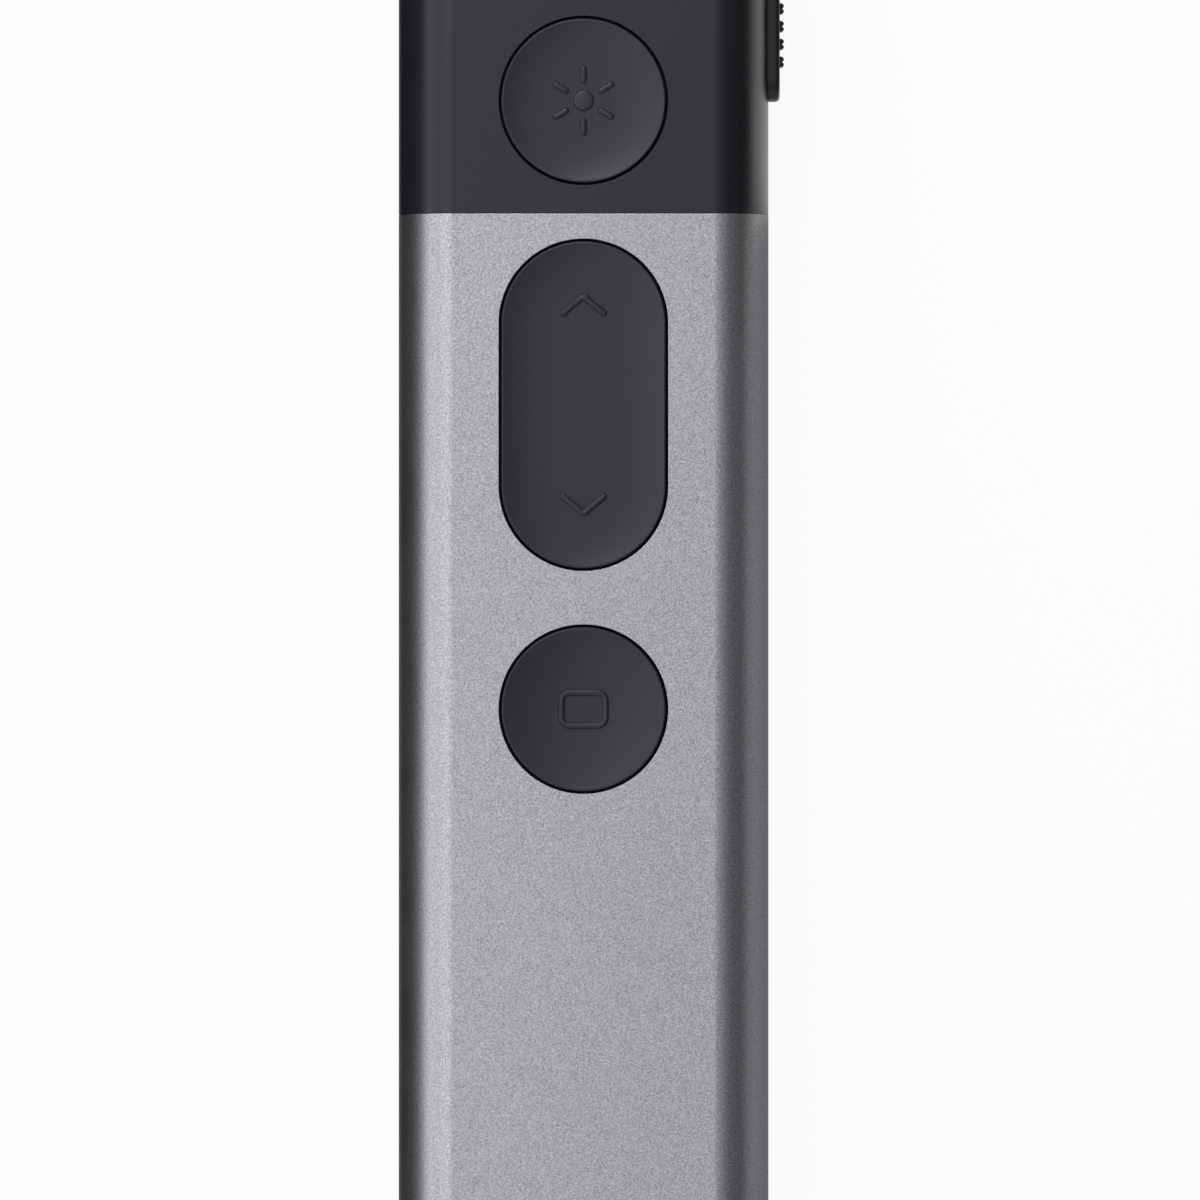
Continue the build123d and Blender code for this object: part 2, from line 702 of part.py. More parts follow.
with BuildPart() as status_light:
    with BuildSketch(Plane((0, light_y, board_top))):
        Rectangle(light_size[0], light_size[1])
    extrude(amount=light_size[2])
status_light.part.label = "status_light"
export_step(status_light.part, "parts/status_light.step")

# The light pipe drops through the head and the key frame, and stops above the light.
pipe_flange_top = face_z - head_wall - fit_gap
pipe_bottom = board_top + light_size[2] + fit_gap
with BuildPart() as light_pipe:
    with BuildSketch(Plane((0, light_y, face_z))):
        Circle(pipe_radius)
    extrude(amount=pipe_bottom - face_z)
    with BuildSketch(Plane((0, light_y, pipe_flange_top))):
        Circle(pipe_flange_radius)
    extrude(amount=-pipe_flange_height)
light_pipe.part.label = "light_pipe"
export_step(light_pipe.part, "parts/light_pipe.step")

# ------------------------------------------------------------------ board carrier and screws
with BuildPart() as board_carrier:
    with BuildSketch(Plane((0, board_tail_y, carrier_bottom))):
        Rectangle(frame_width, notch_y - board_tail_y, align=(Align.CENTER, Align.MIN))
    extrude(amount=board_bottom - carrier_bottom)
    with BuildSketch(Plane((0, board_tail_y + carrier_floor, carrier_top))):
        Rectangle(
            frame_width - 2 * carrier_floor,
            notch_y - board_tail_y - 2 * carrier_floor,
            align=(Align.CENTER, Align.MIN),
        )
    extrude(amount=board_bottom - carrier_top, mode=Mode.SUBTRACT)
    with BuildSketch(Plane((0, 0, carrier_bottom))):
        with Locations([(side * board_screw_x, y) for side in (-1, 1) for y in (*screw_rows, head_screw_y)]):
            Circle(post_radius)
    extrude(amount=board_bottom - carrier_bottom)
    with BuildSketch(Plane((0, 0, board_bottom))):
        with Locations([(side * board_screw_x, y) for side in (-1, 1) for y in screw_rows]):
            Circle(screw_radius)
    extrude(amount=carrier_top - board_bottom, mode=Mode.SUBTRACT)
    with BuildSketch(Plane((0, 0, carrier_bottom))):
        with Locations([(side * board_screw_x, head_screw_y) for side in (-1, 1)]):
            Circle(screw_radius)
    extrude(amount=board_bottom - carrier_bottom, mode=Mode.SUBTRACT)
board_carrier.part.label = "board_carrier"
export_step(board_carrier.part, "parts/board_carrier.step")

with BuildPart() as board_screws:
    with BuildSketch(Plane((0, 0, frame_top - fit_gap))):
        with Locations([(side * board_screw_x, y) for side in (-1, 1) for y in screw_rows]):
            Circle(screw_head_radius)
    extrude(amount=-screw_head_height)
    with BuildSketch(Plane((0, 0, frame_top - fit_gap))):
        with Locations([(side * board_screw_x, y) for side in (-1, 1) for y in screw_rows]):
            Circle(screw_radius)
    extrude(amount=carrier_top + fit_gap - frame_top)
board_screws.part.label = "board_screws"
export_step(board_screws.part, "parts/board_screws.step")

# ------------------------------------------------------------------ power slider and its switch
neck_tip_x = body_width / 2 - head_wall - neck_inside
lever_tip_x = neck_tip_x + lever_inside
slider_top_x = body_width / 2 + slider_stands_out
with BuildPart() as power_slider:
    with BuildSketch(flank(slider_y, body_width / 2 - slider_width / 2)):
        SlotOverall(slider_length, slider_width)
    extrude(amount=slider_stands_out + slider_width / 2)
    fillet(power_slider.edges().group_by(Axis.X)[-1], slider_rounding)
    with BuildSketch(flank(slider_y, slider_top_x)):
        with GridLocations(rib_pitch, rib_pitch, rib_count, 1):
            SlotOverall(rib_length, rib_width, rotation=90)
    extrude(amount=rib_height)
    fillet(power_slider.edges().group_by(Axis.X)[-1], rib_height / 2)
    with BuildSketch(across(slider_y + slider_length)):
        add(body_section(-slider_gap))
    extrude(amount=2 * slider_length, mode=Mode.SUBTRACT)
    with BuildSketch(flank(slider_y, neck_tip_x)):
        RectangleRounded(neck_length, neck_width, slider_gap)
    extrude(amount=slider_top_x - neck_tip_x - slider_rounding)
    with BuildSketch(flank(slider_y, neck_tip_x)):
        Rectangle(neck_length + 2 * slider_hook, neck_width)
    extrude(amount=neck_inside - slider_gap - fit_gap)
    with BuildSketch(flank(slider_y, neck_tip_x)):
        Rectangle(switch_lever_width + fit_gap, neck_width)
    extrude(amount=lever_inside + fit_gap, mode=Mode.SUBTRACT)
power_slider.part.label = "power_slider"
export_step(power_slider.part, "parts/power_slider.step")

power_body_x = board_width / 2 - fit_gap
lever_z = board_top + (power_switch_size[2] - switch_lever_thickness) / 2
lever_root_x = power_body_x - power_switch_size[0] / 2
with BuildPart() as power_switch_body:
    with BuildSketch(Plane((power_body_x, slider_y - power_travel / 2, board_top))):
        Rectangle(power_switch_size[0], power_switch_size[1], align=(Align.MAX, Align.CENTER))
    extrude(amount=power_switch_size[2])
    with BuildSketch(Plane((power_body_x, slider_y - power_travel / 2, lever_z - fit_gap))):
        Rectangle(
            power_body_x - lever_root_x + fit_gap,
            switch_lever_width + power_travel + 2 * fit_gap,
            align=(Align.MAX, Align.CENTER),
        )
    extrude(amount=switch_lever_thickness + 2 * fit_gap, mode=Mode.SUBTRACT)
power_switch_body.part.label = "power_switch_body"
export_step(power_switch_body.part, "parts/power_switch_body.step")

with BuildPart() as power_switch_lever:
    with BuildSketch(Plane((lever_root_x, slider_y, lever_z))):
        Rectangle(lever_tip_x - lever_root_x, switch_lever_width, align=(Align.MIN, Align.CENTER))
    extrude(amount=switch_lever_thickness)
power_switch_lever.part.label = "power_switch_lever"
export_step(power_switch_lever.part, "parts/power_switch_lever.step")

with BuildPart() as head_screws:
    for side in (-1, 1):
        with Locations(Plane((side * board_screw_x, head_screw_y, fit_gap), z_dir=(0, 0, 1))):
            Cone(
                screw_head_radius,
                screw_radius,
                screw_head_radius - screw_radius,
                align=(Align.CENTER, Align.CENTER, Align.MIN),
            )
            Cylinder(screw_radius, board_bottom - 2 * fit_gap, align=(Align.CENTER, Align.CENTER, Align.MIN))
head_screws.part.label = "head_screws"
export_step(head_screws.part, "parts/head_screws.step")

# ------------------------------------------------------------------ battery chassis
# One moulding: the bay's front wall, two cheeks beside the cell, and the dock behind it.
bay_radius = cell_diameter / 2 + bay_gap
cell_z = sleeve_wall + cell_room + cell_diameter / 2
recess_y = plug_root_y + dock_gap
bay_length = bay_y - bay_wall - dock_y - bay_wall
wire_z = board_top + wire_radius
with BuildPart() as battery_chassis:
    with BuildSketch(across(bay_y)):
        add(body_section(sleeve_wall + fit_gap))
        with Locations((0, -mid_z)):
            Rectangle(body_width, chassis_bottom, align=(Align.CENTER, Align.MIN), mode=Mode.SUBTRACT)
    extrude(amount=bay_y - sleeve_end_y)
    with BuildSketch(across(bay_y - bay_wall)):
        with Locations((0, cell_z - mid_z)):
            Circle(bay_radius)
            Rectangle(2 * bay_radius, face_z, align=(Align.CENTER, Align.MAX))
            Rectangle(bay_radius, face_z, align=(Align.CENTER, Align.MIN))
    extrude(amount=bay_length, mode=Mode.SUBTRACT)
    with BuildSketch(across(dock_y)):
        Rectangle(plug_width + 2 * dock_gap, plug_height + 2 * dock_gap)
    extrude(amount=dock_y - sleeve_end_y, mode=Mode.SUBTRACT)
    with BuildSketch(across(recess_y)):
        Rectangle(receiver_head_width + 2 * dock_gap, receiver_head_height + 2 * dock_gap)
    extrude(amount=recess_y - sleeve_end_y, mode=Mode.SUBTRACT)
    with BuildSketch(across(bay_y)):
        with Locations((-wire_x, wire_z - mid_z)):
            Rectangle(body_width, 2 * (wire_radius + fit_gap), align=(Align.MAX, Align.CENTER))
            Circle(wire_radius + fit_gap)
    extrude(amount=bay_y - spring_plate_y, mode=Mode.SUBTRACT)
    with BuildSketch(across(spring_plate_y + fit_gap)):
        with Locations((-bay_radius, wire_z - mid_z)):
            Rectangle(wire_x, 2 * (wire_radius + fit_gap), align=(Align.MAX, Align.CENTER))
    extrude(amount=contact_thickness + 2 * fit_gap, mode=Mode.SUBTRACT)
    with BuildSketch(across(bay_y)):
        with Locations((contact_width / 4, board_top + contact_thickness / 2 - mid_z)):
            Rectangle(contact_width / 2 + 2 * fit_gap, contact_thickness + 2 * fit_gap)
    extrude(amount=bay_wall, mode=Mode.SUBTRACT)
    with BuildSketch(across(sleeve_end_y)):
        with Locations((-tail_screw_x, 0), (tail_screw_x, 0)):
            Circle(screw_radius)
    extrude(amount=dock_y - sleeve_end_y, dir=(0, 1, 0), mode=Mode.SUBTRACT)
battery_chassis.part.label = "battery_chassis"
export_step(battery_chassis.part, "parts/battery_chassis.step")

# ------------------------------------------------------------------ cell and its contacts
with BuildPart() as battery_cell:
    cell_plane = Plane(origin=(0, cell_front_y, cell_z), x_dir=(1, 0, 0), z_dir=(0, -1, 0))
    with BuildSketch(cell_plane.offset(cell_nub_length)):
        Circle(cell_diameter / 2)
    extrude(amount=cell_length - cell_nub_length)
    fillet(battery_cell.edges().filter_by(GeomType.CIRCLE), 2 * fit_gap)
    with BuildSketch(cell_plane):
        Circle(cell_nub_radius)
    extrude(amount=cell_nub_length + fit_gap)
battery_cell.part.label = "battery_cell"
export_step(battery_cell.part, "parts/battery_cell.step")

plate_front_y = bay_y - bay_wall
with BuildPart() as positive_contact:
    with BuildSketch(Plane(origin=(0, plate_front_y, cell_z), x_dir=(1, 0, 0), z_dir=(0, -1, 0))):
        Rectangle(contact_width, contact_width)
    extrude(amount=contact_thickness)
    with BuildSketch(Plane(origin=(0, plate_front_y, cell_z), x_dir=(1, 0, 0), z_dir=(0, -1, 0))):
        Circle(cell_nub_radius)
    extrude(amount=contact_stand)
    with BuildSketch(Plane((contact_width / 4, plate_front_y, board_top))):
        Rectangle(contact_width / 2, bay_wall + solder_reach, align=(Align.CENTER, Align.MIN))
    extrude(amount=contact_thickness)
positive_contact.part.label = "positive_contact"
export_step(positive_contact.part, "parts/positive_contact.step")

spring_sink = spring_wire_radius / 2  # its first turn is let into the plate
spring_height = spring_room - spring_wire_radius - spring_sink
spring_pitch = spring_height / spring_turns
with BuildPart() as negative_spring:
    with BuildLine():
        Helix(
            spring_pitch,
            spring_height,
            spring_radius,
            center=(0, spring_plate_y + spring_sink, cell_z),
            direction=(0, 1, 0),
        )
    spring_line = negative_spring.pending_edges[0]
    with BuildSketch(Plane(origin=spring_line @ 0, z_dir=spring_line % 0)):
        Circle(spring_wire_radius)
    sweep(is_frenet=True)
    with BuildSketch(Plane(origin=(0, spring_plate_y, cell_z), x_dir=(1, 0, 0), z_dir=(0, -1, 0))):
        Rectangle(contact_width, contact_width)
        with Locations((0, wire_z - cell_z)):
            Rectangle(wire_x + wire_radius, 2 * wire_radius, align=(Align.MAX, Align.CENTER))
    extrude(amount=contact_thickness)
negative_spring.part.label = "negative_spring"
export_step(negative_spring.part, "parts/negative_spring.step")

with BuildPart() as negative_lead:
    with BuildSketch(across(bay_y + solder_reach)):
        with Locations((-wire_x, wire_z - mid_z)):
            Circle(wire_radius)
    extrude(amount=bay_y + solder_reach - spring_plate_y)
negative_lead.part.label = "negative_lead"
export_step(negative_lead.part, "parts/negative_lead.step")

# ------------------------------------------------------------------ battery door
# A plate that fills the slot in the sleeve's back, on two rails that run inside the wall. Its end fills the
# notch in the tail cap that lets the rails out.
door_tip_y = bay_y - door_gap
door_half = door_slot_width / 2 - door_gap
rail_width = door_rail_outer_x - door_rail_inner_x
rail_middle = (door_rail_outer_x + door_rail_inner_x) / 2
with BuildPart() as battery_door:
    with BuildSketch(Plane((0, door_tip_y, door_sink))):
        Rectangle(2 * door_half, door_tip_y - tail_y, align=(Align.CENTER, Align.MAX))
    extrude(amount=sleeve_wall + fit_gap - door_sink)
    with BuildSketch(Plane((0, door_tip_y, sleeve_wall + fit_gap))):
        with Locations((-rail_middle, 0), (rail_middle, 0)):
            Rectangle(rail_width, door_tip_y - sleeve_end_y - fit_gap, align=(Align.CENTER, Align.MAX))
        with Locations((0, tail_y - door_tip_y)):
            Rectangle(2 * door_rail_outer_x, tail_cap_thickness, align=(Align.CENTER, Align.MIN))
    extrude(amount=door_rail_height)
    with BuildSketch(Plane((0, tail_y + door_grip_from_tail, door_sink))):
        with GridLocations(door_grip_pitch, door_grip_pitch, 1, door_grip_count):
            SlotOverall(door_grip_length, door_grip_width)
    extrude(amount=door_grip_depth, mode=Mode.SUBTRACT)
battery_door.part.label = "battery_door"
export_step(battery_door.part, "parts/battery_door.step")

# ------------------------------------------------------------------ tail cap
with BuildPart() as tail_cap:
    with BuildSketch(across(sleeve_end_y)):
        add(body_section(edge_bevel))
        Rectangle(receiver_head_width + 2 * dock_gap, receiver_head_height + 2 * dock_gap, mode=Mode.SUBTRACT)
        with Locations((0, -mid_z)):
            Rectangle(door_slot_width, chassis_bottom, align=(Align.CENTER, Align.MIN), mode=Mode.SUBTRACT)
        with Locations((0, sleeve_wall - mid_z)):
            Rectangle(
                2 * (door_rail_outer_x + door_gap),
                chassis_bottom - sleeve_wall,
                align=(Align.CENTER, Align.MIN),
                mode=Mode.SUBTRACT,
            )
    extrude(amount=tail_cap_thickness)
    chamfer(tail_cap.faces().sort_by(Axis.Y)[0].outer_wire().edges(), edge_bevel)
    for side in (-1, 1):
        with Locations(Plane((side * tail_screw_x, tail_y, mid_z), z_dir=(0, -1, 0))):
            CounterSinkHole(
                screw_radius + fit_gap,
                screw_head_radius + fit_gap,
                2 * tail_cap_thickness,
                countersink,
            )
tail_cap.part.label = "tail_cap"
export_step(tail_cap.part, "parts/tail_cap.step")

with BuildPart() as tail_cap_screws:
    for side in (-1, 1):
        with Locations(Plane((side * tail_screw_x, tail_y + fit_gap, mid_z), z_dir=(0, 1, 0))):
            Cone(
                screw_head_radius,
                screw_radius,
                screw_head_radius - screw_radius,
                align=(Align.CENTER, Align.CENTER, Align.MIN),
            )
            Cylinder(screw_radius, receiver_head_length, align=(Align.CENTER, Align.CENTER, Align.MIN))
tail_cap_screws.part.label = "tail_cap_screws"
export_step(tail_cap_screws.part, "parts/tail_cap_screws.step")

# ------------------------------------------------------------------ USB receiver, parked in its dock
with BuildPart() as receiver_housing:
    with BuildSketch(across(plug_root_y)):
        RectangleRounded(receiver_head_width, receiver_head_height, receiver_rounding)
    extrude(amount=plug_root_y - tail_y)
    chamfer(receiver_housing.faces().sort_by(Axis.Y)[0].edges(), 2 * fit_gap)
    for z in (mid_z - receiver_head_height / 2, mid_z + receiver_head_height / 2):
        with BuildSketch(Plane((0, tail_y, z))):
            Rectangle(grip_notch_width, 2 * grip_notch_depth)
        extrude(amount=grip_notch_depth, both=True, mode=Mode.SUBTRACT)
receiver_housing.part.label = "receiver_housing"
export_step(receiver_housing.part, "parts/receiver_housing.step")

with BuildPart() as receiver_plug_shell:
    with BuildSketch(across(plug_tip_y)):
        RectangleRounded(plug_width, plug_height, plug_rounding)
        RectangleRounded(
            plug_width - 2 * plug_wall,
            plug_height - 2 * plug_wall,
            plug_rounding - plug_wall,
            mode=Mode.SUBTRACT,
        )
    extrude(amount=plug_length)
    with BuildSketch(Plane((0, plug_tip_y - plug_length / 2, mid_z))):
        with GridLocations(plug_width / 2, plug_width, 2, 1):
            Rectangle(plug_height / 2, plug_height / 2)
    extrude(amount=plug_height, both=True, mode=Mode.SUBTRACT)
receiver_plug_shell.part.label = "receiver_plug_shell"
export_step(receiver_plug_shell.part, "parts/receiver_plug_shell.step")

# The contact board fills the lower half of the plug.
tongue_bottom = mid_z - plug_height / 2 + plug_wall
with BuildPart() as receiver_contact_board:
    with BuildSketch(Plane((0, plug_tip_y - tongue_board_setback, tongue_bottom))):
        Rectangle(
            plug_width - 2 * plug_wall - 2 * fit_gap,
            plug_length - tongue_board_setback,
            align=(Align.CENTER, Align.MAX),
        )
    extrude(amount=tongue_board_thickness)
receiver_contact_board.part.label = "receiver_contact_board"
export_step(receiver_contact_board.part, "parts/receiver_contact_board.step")

with BuildPart() as receiver_contacts:
    contacts_middle_y = plug_tip_y - 2 * tongue_board_setback - gold_contact_size[1] / 2
    with BuildSketch(Plane((0, contacts_middle_y, tongue_bottom + tongue_board_thickness))):
        with GridLocations(gold_contact_pitch, gold_contact_pitch, gold_contact_count, 1):
            Rectangle(gold_contact_size[0], gold_contact_size[1])
    extrude(amount=gold_contact_size[2])
receiver_contacts.part.label = "receiver_contacts"
export_step(receiver_contacts.part, "parts/receiver_contacts.step")
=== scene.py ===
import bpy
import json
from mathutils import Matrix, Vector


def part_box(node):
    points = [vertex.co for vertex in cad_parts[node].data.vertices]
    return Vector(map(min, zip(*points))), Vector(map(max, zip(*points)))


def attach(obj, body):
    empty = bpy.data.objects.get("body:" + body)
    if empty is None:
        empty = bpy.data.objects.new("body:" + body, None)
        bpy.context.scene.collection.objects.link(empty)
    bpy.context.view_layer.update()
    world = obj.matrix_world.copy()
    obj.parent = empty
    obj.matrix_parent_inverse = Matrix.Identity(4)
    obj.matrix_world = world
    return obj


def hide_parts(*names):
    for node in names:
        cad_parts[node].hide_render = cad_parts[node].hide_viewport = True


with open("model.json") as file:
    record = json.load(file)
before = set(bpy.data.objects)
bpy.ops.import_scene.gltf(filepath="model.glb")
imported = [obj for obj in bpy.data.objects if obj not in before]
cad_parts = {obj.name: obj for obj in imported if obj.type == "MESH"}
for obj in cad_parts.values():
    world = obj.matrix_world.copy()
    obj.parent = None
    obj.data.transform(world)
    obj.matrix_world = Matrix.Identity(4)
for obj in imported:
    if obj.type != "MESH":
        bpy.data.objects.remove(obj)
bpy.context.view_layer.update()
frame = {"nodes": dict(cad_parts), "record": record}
print("pieces in the frame:", len(frame["nodes"]))

# %% [markdown]
# # A wireless presentation clicker
# The real object is a slim bar: an aluminium tube, a black plastic head with a laser in its tip, three keys
# flush with the front, a slide switch on the right flank, and at the back a battery door and a USB receiver
# parked in the tail. The frame just loaded holds every piece at its place, in metres. It lies on
# its flat back, with X across it, Y along it towards the laser and Z up towards the keys.

# %% Tools that the lesson needs
import json
import math

import bmesh
import bpy
from mathutils import Matrix

mm = 0.001


def span(node):
    """The lowest and highest corner of a piece of the frame."""
    low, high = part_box(node)
    return low, high


def in_mm(metres):
    """Rounded millimetres, for printing."""
    return [round(value / mm, 3) for value in metres]


sleeve_low, sleeve_high = span("aluminium_sleeve")
head_low, head_high = span("head_shell")
print("sleeve, mm:", in_mm((*sleeve_low, *sleeve_high)))
print("head, mm:", in_mm((*head_low, *head_high)))

# %% [markdown]
# ## Working in edit mode
# Every new piece starts as a primitive and is shaped in edit mode, as one would by hand. By hand one clicks
# on the faces to change; in a script they are chosen by where they lie or which way they face. An operator
# acts on all that is selected, so each step begins with an empty selection.

# %% Helpers for edit mode
a_hair = 0.001 * mm
same_point = 0.0005 * mm
sliver = 0.0002 * mm


def nothing_selected():
    """Back to object mode, with nothing selected."""
    if bpy.context.object and bpy.context.object.mode != "OBJECT":
        bpy.ops.object.mode_set(mode="OBJECT")
    bpy.ops.object.select_all(action="DESELECT")


def only(piece):
    """Makes this piece the only one that an operator acts on."""
    nothing_selected()
    piece.select_set(True)
    bpy.context.view_layer.objects.active = piece


def choose(piece, kind, test):
    """Enters edit mode and selects the vertices, edges or faces that pass the test."""
    only(piece)
    bpy.ops.object.mode_set(mode="EDIT")
    bpy.ops.mesh.select_mode(type=kind)
    bpy.ops.mesh.select_all(action="DESELECT")
    shape = bmesh.from_edit_mesh(piece.data)
    parts = {"VERT": shape.verts, "EDGE": shape.edges, "FACE": shape.faces}[kind]
    chosen = [item for item in parts if test(item)]
    for item in chosen:
        item.select_set(True)
    shape.select_flush_mode()
    bmesh.update_edit_mesh(piece.data)
    return len(chosen)


def settle(piece, name):
    """Leaves edit mode, names the piece and writes its place into its mesh."""
    only(piece)
    bpy.ops.object.transform_apply(location=True, rotation=True, scale=True)
    piece.name = name
    piece.data.name = name
    return piece


def modify(piece, kind, **settings):
    """Applies a modifier of this kind, with these settings, to the piece."""
    only(piece)
    step = piece.modifiers.new(kind.lower(), kind)
    for name, value in settings.items():
        setattr(step, name, value)
    bpy.ops.object.modifier_apply(modifier=step.name)


def combine(piece, other, operation):
    """Cuts the other solid out of the piece, or joins it to the piece, and clears away tiny slivers."""
    modify(piece, "BOOLEAN", operation=operation, solver="EXACT", object=other)
    bpy.data.objects.remove(other)
    bpy.ops.object.mode_set(mode="EDIT")
    bpy.ops.mesh.select_all(action="SELECT")
    bpy.ops.mesh.remove_doubles(threshold=same_point)
    bpy.ops.mesh.dissolve_degenerate(threshold=sliver)
    nothing_selected()


def cut(piece, other):
    """Cuts the other solid out of the piece."""
    combine(piece, other, "DIFFERENCE")


def join(piece, other):
    """Makes the other solid one with the piece."""
    combine(piece, other, "UNION")


def bevel_chosen(size, segments):
    """Rounds the chosen edges, or breaks them when there is only one segment."""
    bpy.ops.mesh.bevel(offset=size, segments=segments, profile=0.5, affect="EDGES", clamp_overlap=False)


def along_body(edge):
    """True for an edge that runs along the body."""
    return abs(edge.verts[0].co.y - edge.verts[1].co.y) > a_hair


# %% [markdown]
# ## Finishes
# A finish is a small network of nodes around one shader. Colours and gloss that are the same all over are
# set on the shader itself, and noise on the object's own coordinates adds the grain, at the size that the
# real grain has. All the plastics share one recipe: a fine moulded grain, and a slow change in gloss where
# hands have polished it.

# %% Bare pieces
for piece in frame["nodes"].values():
    piece.data.materials.clear()
for material in list(bpy.data.materials):
    bpy.data.materials.remove(material)
print("finishes left:", len(bpy.data.materials))

# %% Helpers for finishes
finishes = {}
noise_low, noise_high = 0.3, 0.7


def put(node, values):
    """Writes values into the inputs of a node."""
    for name, value in values.items():
        node.inputs[name].default_value = value


def finish(name, colour, roughness, metallic=0.0):
    """A new material with its colour and gloss set, and what is needed to add to it."""
    material = bpy.data.materials.new(name)
    material.use_nodes = True
    nodes = material.node_tree.nodes
    shader = nodes["Principled BSDF"]
    put(shader, {"Base Color": (*colour, 1), "Roughness": roughness, "Metallic": metallic})
    finishes[name] = material
    return nodes, material.node_tree.links, shader


def place_on_object(nodes):
    """The point of the object that is being shaded."""
    return nodes.new("ShaderNodeTexCoord").outputs["Object"]


def grain(nodes, links, size, detail=2.0, softness=0.5):
    """Noise with bumps of about this size, in metres."""
    noise = nodes.new("ShaderNodeTexNoise")
    put(noise, {"Scale": 1 / size, "Detail": detail, "Roughness": softness})
    links.new(place_on_object(nodes), noise.inputs["Vector"])
    return noise.outputs["Fac"]


def between(nodes, links, value, low, high):
    """Stretches noise so that it goes from low to high."""
    stretch = nodes.new("ShaderNodeMapRange")
    put(stretch, {"From Min": noise_low, "From Max": noise_high, "To Min": low, "To Max": high})
    links.new(value, stretch.inputs["Value"])
    return stretch.outputs["Result"]


def shades(nodes, links, value, dark, light):
    """A colour between dark and light, by noise."""
    ramp = nodes.new("ShaderNodeValToRGB")
    for end, position, colour in zip(ramp.color_ramp.elements, (noise_low, noise_high), (dark, light)):
        end.position = position
        end.color = (*colour, 1)
    links.new(value, ramp.inputs["Fac"])
    return ramp.outputs["Color"]


def bumps(nodes, links, shader, value, height):
    """Raises the surface by noise, up to this height in metres."""
    bump = nodes.new("ShaderNodeBump")
    put(bump, {"Distance": height})
    links.new(value, bump.inputs["Height"])
    links.new(bump.outputs["Normal"], shader.inputs["Normal"])


def tint(colour, share):
    """The colour made lighter or darker by a share."""
    return tuple(channel * share for channel in colour)


# %% [markdown]
# ### Blasted aluminium
# The sleeve is an extruded tube, blasted with glass beads and then anodised. Each bead leaves a dent of
# about a tenth of a millimetre, so the metal sparkles softly. A bump made of noise at that size does this
# by itself, because each dent faces another part of the studio.

# %% Blasted aluminium
aluminium_colour = (0.474, 0.474, 0.480)
nodes, links, shader = finish("anodised_aluminium", aluminium_colour, 0.37, metallic=1.0)
put(shader, {"Specular Tint": (0.5, 0.5, 0.5, 1)})
dents = grain(nodes, links, 0.12 * mm, detail=3.0, softness=0.6)
links.new(shades(nodes, links, dents, tint(aluminium_colour, 0.62), tint(aluminium_colour, 1.38)),
          shader.inputs["Base Color"])
links.new(between(nodes, links, grain(nodes, links, 6 * mm), 0.36, 0.38), shader.inputs["Roughness"])
bumps(nodes, links, shader, dents, 0.018 * mm)
print("finish: anodised_aluminium")

# %% [markdown]
# ### Moulded plastics
# The head, the keys, the slider and the door are black plastic from different moulds. The recipe is the
# same, and only the colour, the gloss and the size of the grain change.

# %% Moulded plastics
thumb_width = 9 * mm


def moulded(name, colour, roughness, grain_size, grain_height):
    """Plastic with a fine moulded grain, a little glossier where it has been handled."""
    nodes, links, shader = finish(name, colour, roughness)
    pores = grain(nodes, links, grain_size)
    speckle = shades(nodes, links, pores, tint(colour, 0.85), tint(colour, 1.15))
    links.new(speckle, shader.inputs["Base Color"])
    handling = grain(nodes, links, thumb_width)
    links.new(between(nodes, links, handling, roughness - 0.03, roughness + 0.03), shader.inputs["Roughness"])
    bumps(nodes, links, shader, pores, grain_height)


moulded("head_plastic", (0.0080, 0.0074, 0.0108), 0.36, 0.12 * mm, 0.001 * mm)
moulded("key_plastic", (0.0155, 0.0142, 0.0192), 0.44, 0.10 * mm, 0.0015 * mm)
moulded("slider_plastic", (0.0050, 0.0050, 0.0055), 0.38, 0.10 * mm, 0.001 * mm)
moulded("door_plastic", (0.0095, 0.0092, 0.0105), 0.46, 0.14 * mm, 0.004 * mm)
moulded("receiver_plastic", (0.0095, 0.0092, 0.0105), 0.44, 0.14 * mm, 0.004 * mm)
moulded("inner_plastic", (0.018, 0.018, 0.020), 0.55, 0.20 * mm, 0.004 * mm)
moulded("plunger_plastic", (0.55, 0.50, 0.40), 0.45, 0.15 * mm, 0.002 * mm)
moulded("chip_epoxy", (0.012, 0.012, 0.013), 0.50, 0.08 * mm, 0.003 * mm)
moulded("ceramic", (0.62, 0.55, 0.42), 0.50, 0.10 * mm, 0.002 * mm)
moulded("lead_insulation", (0.45, 0.03, 0.03), 0.42, 0.20 * mm, 0.003 * mm)
print("plastics:", len(finishes) - 1)

# %% [markdown]
# ### Metals
# Small metal pieces are rolled, turned or plated. Noise that is stretched along one axis gives the fine
# lines that a tool or a roller leaves.

# %% Metals
def drawn_metal(name, colour, roughness, line_size, line_height):
    """Metal with fine lines along the body."""
    nodes, links, shader = finish(name, colour, roughness, metallic=1.0)
    lines = nodes.new("ShaderNodeTexNoise")
    put(lines, {"Scale": 1 / line_size})
    along = nodes.new("ShaderNodeMapping")
    put(along, {"Scale": (1, 0.05, 1)})
    links.new(place_on_object(nodes), along.inputs["Vector"])
    links.new(along.outputs["Vector"], lines.inputs["Vector"])
    links.new(between(nodes, links, lines.outputs["Fac"], roughness - 0.06, roughness + 0.06),
              shader.inputs["Roughness"])
    stains = grain(nodes, links, 3 * mm)
    tarnish = shades(nodes, links, stains, tint(colour, 0.9), tint(colour, 1.05))
    links.new(tarnish, shader.inputs["Base Color"])
    bumps(nodes, links, shader, lines.outputs["Fac"], line_height)


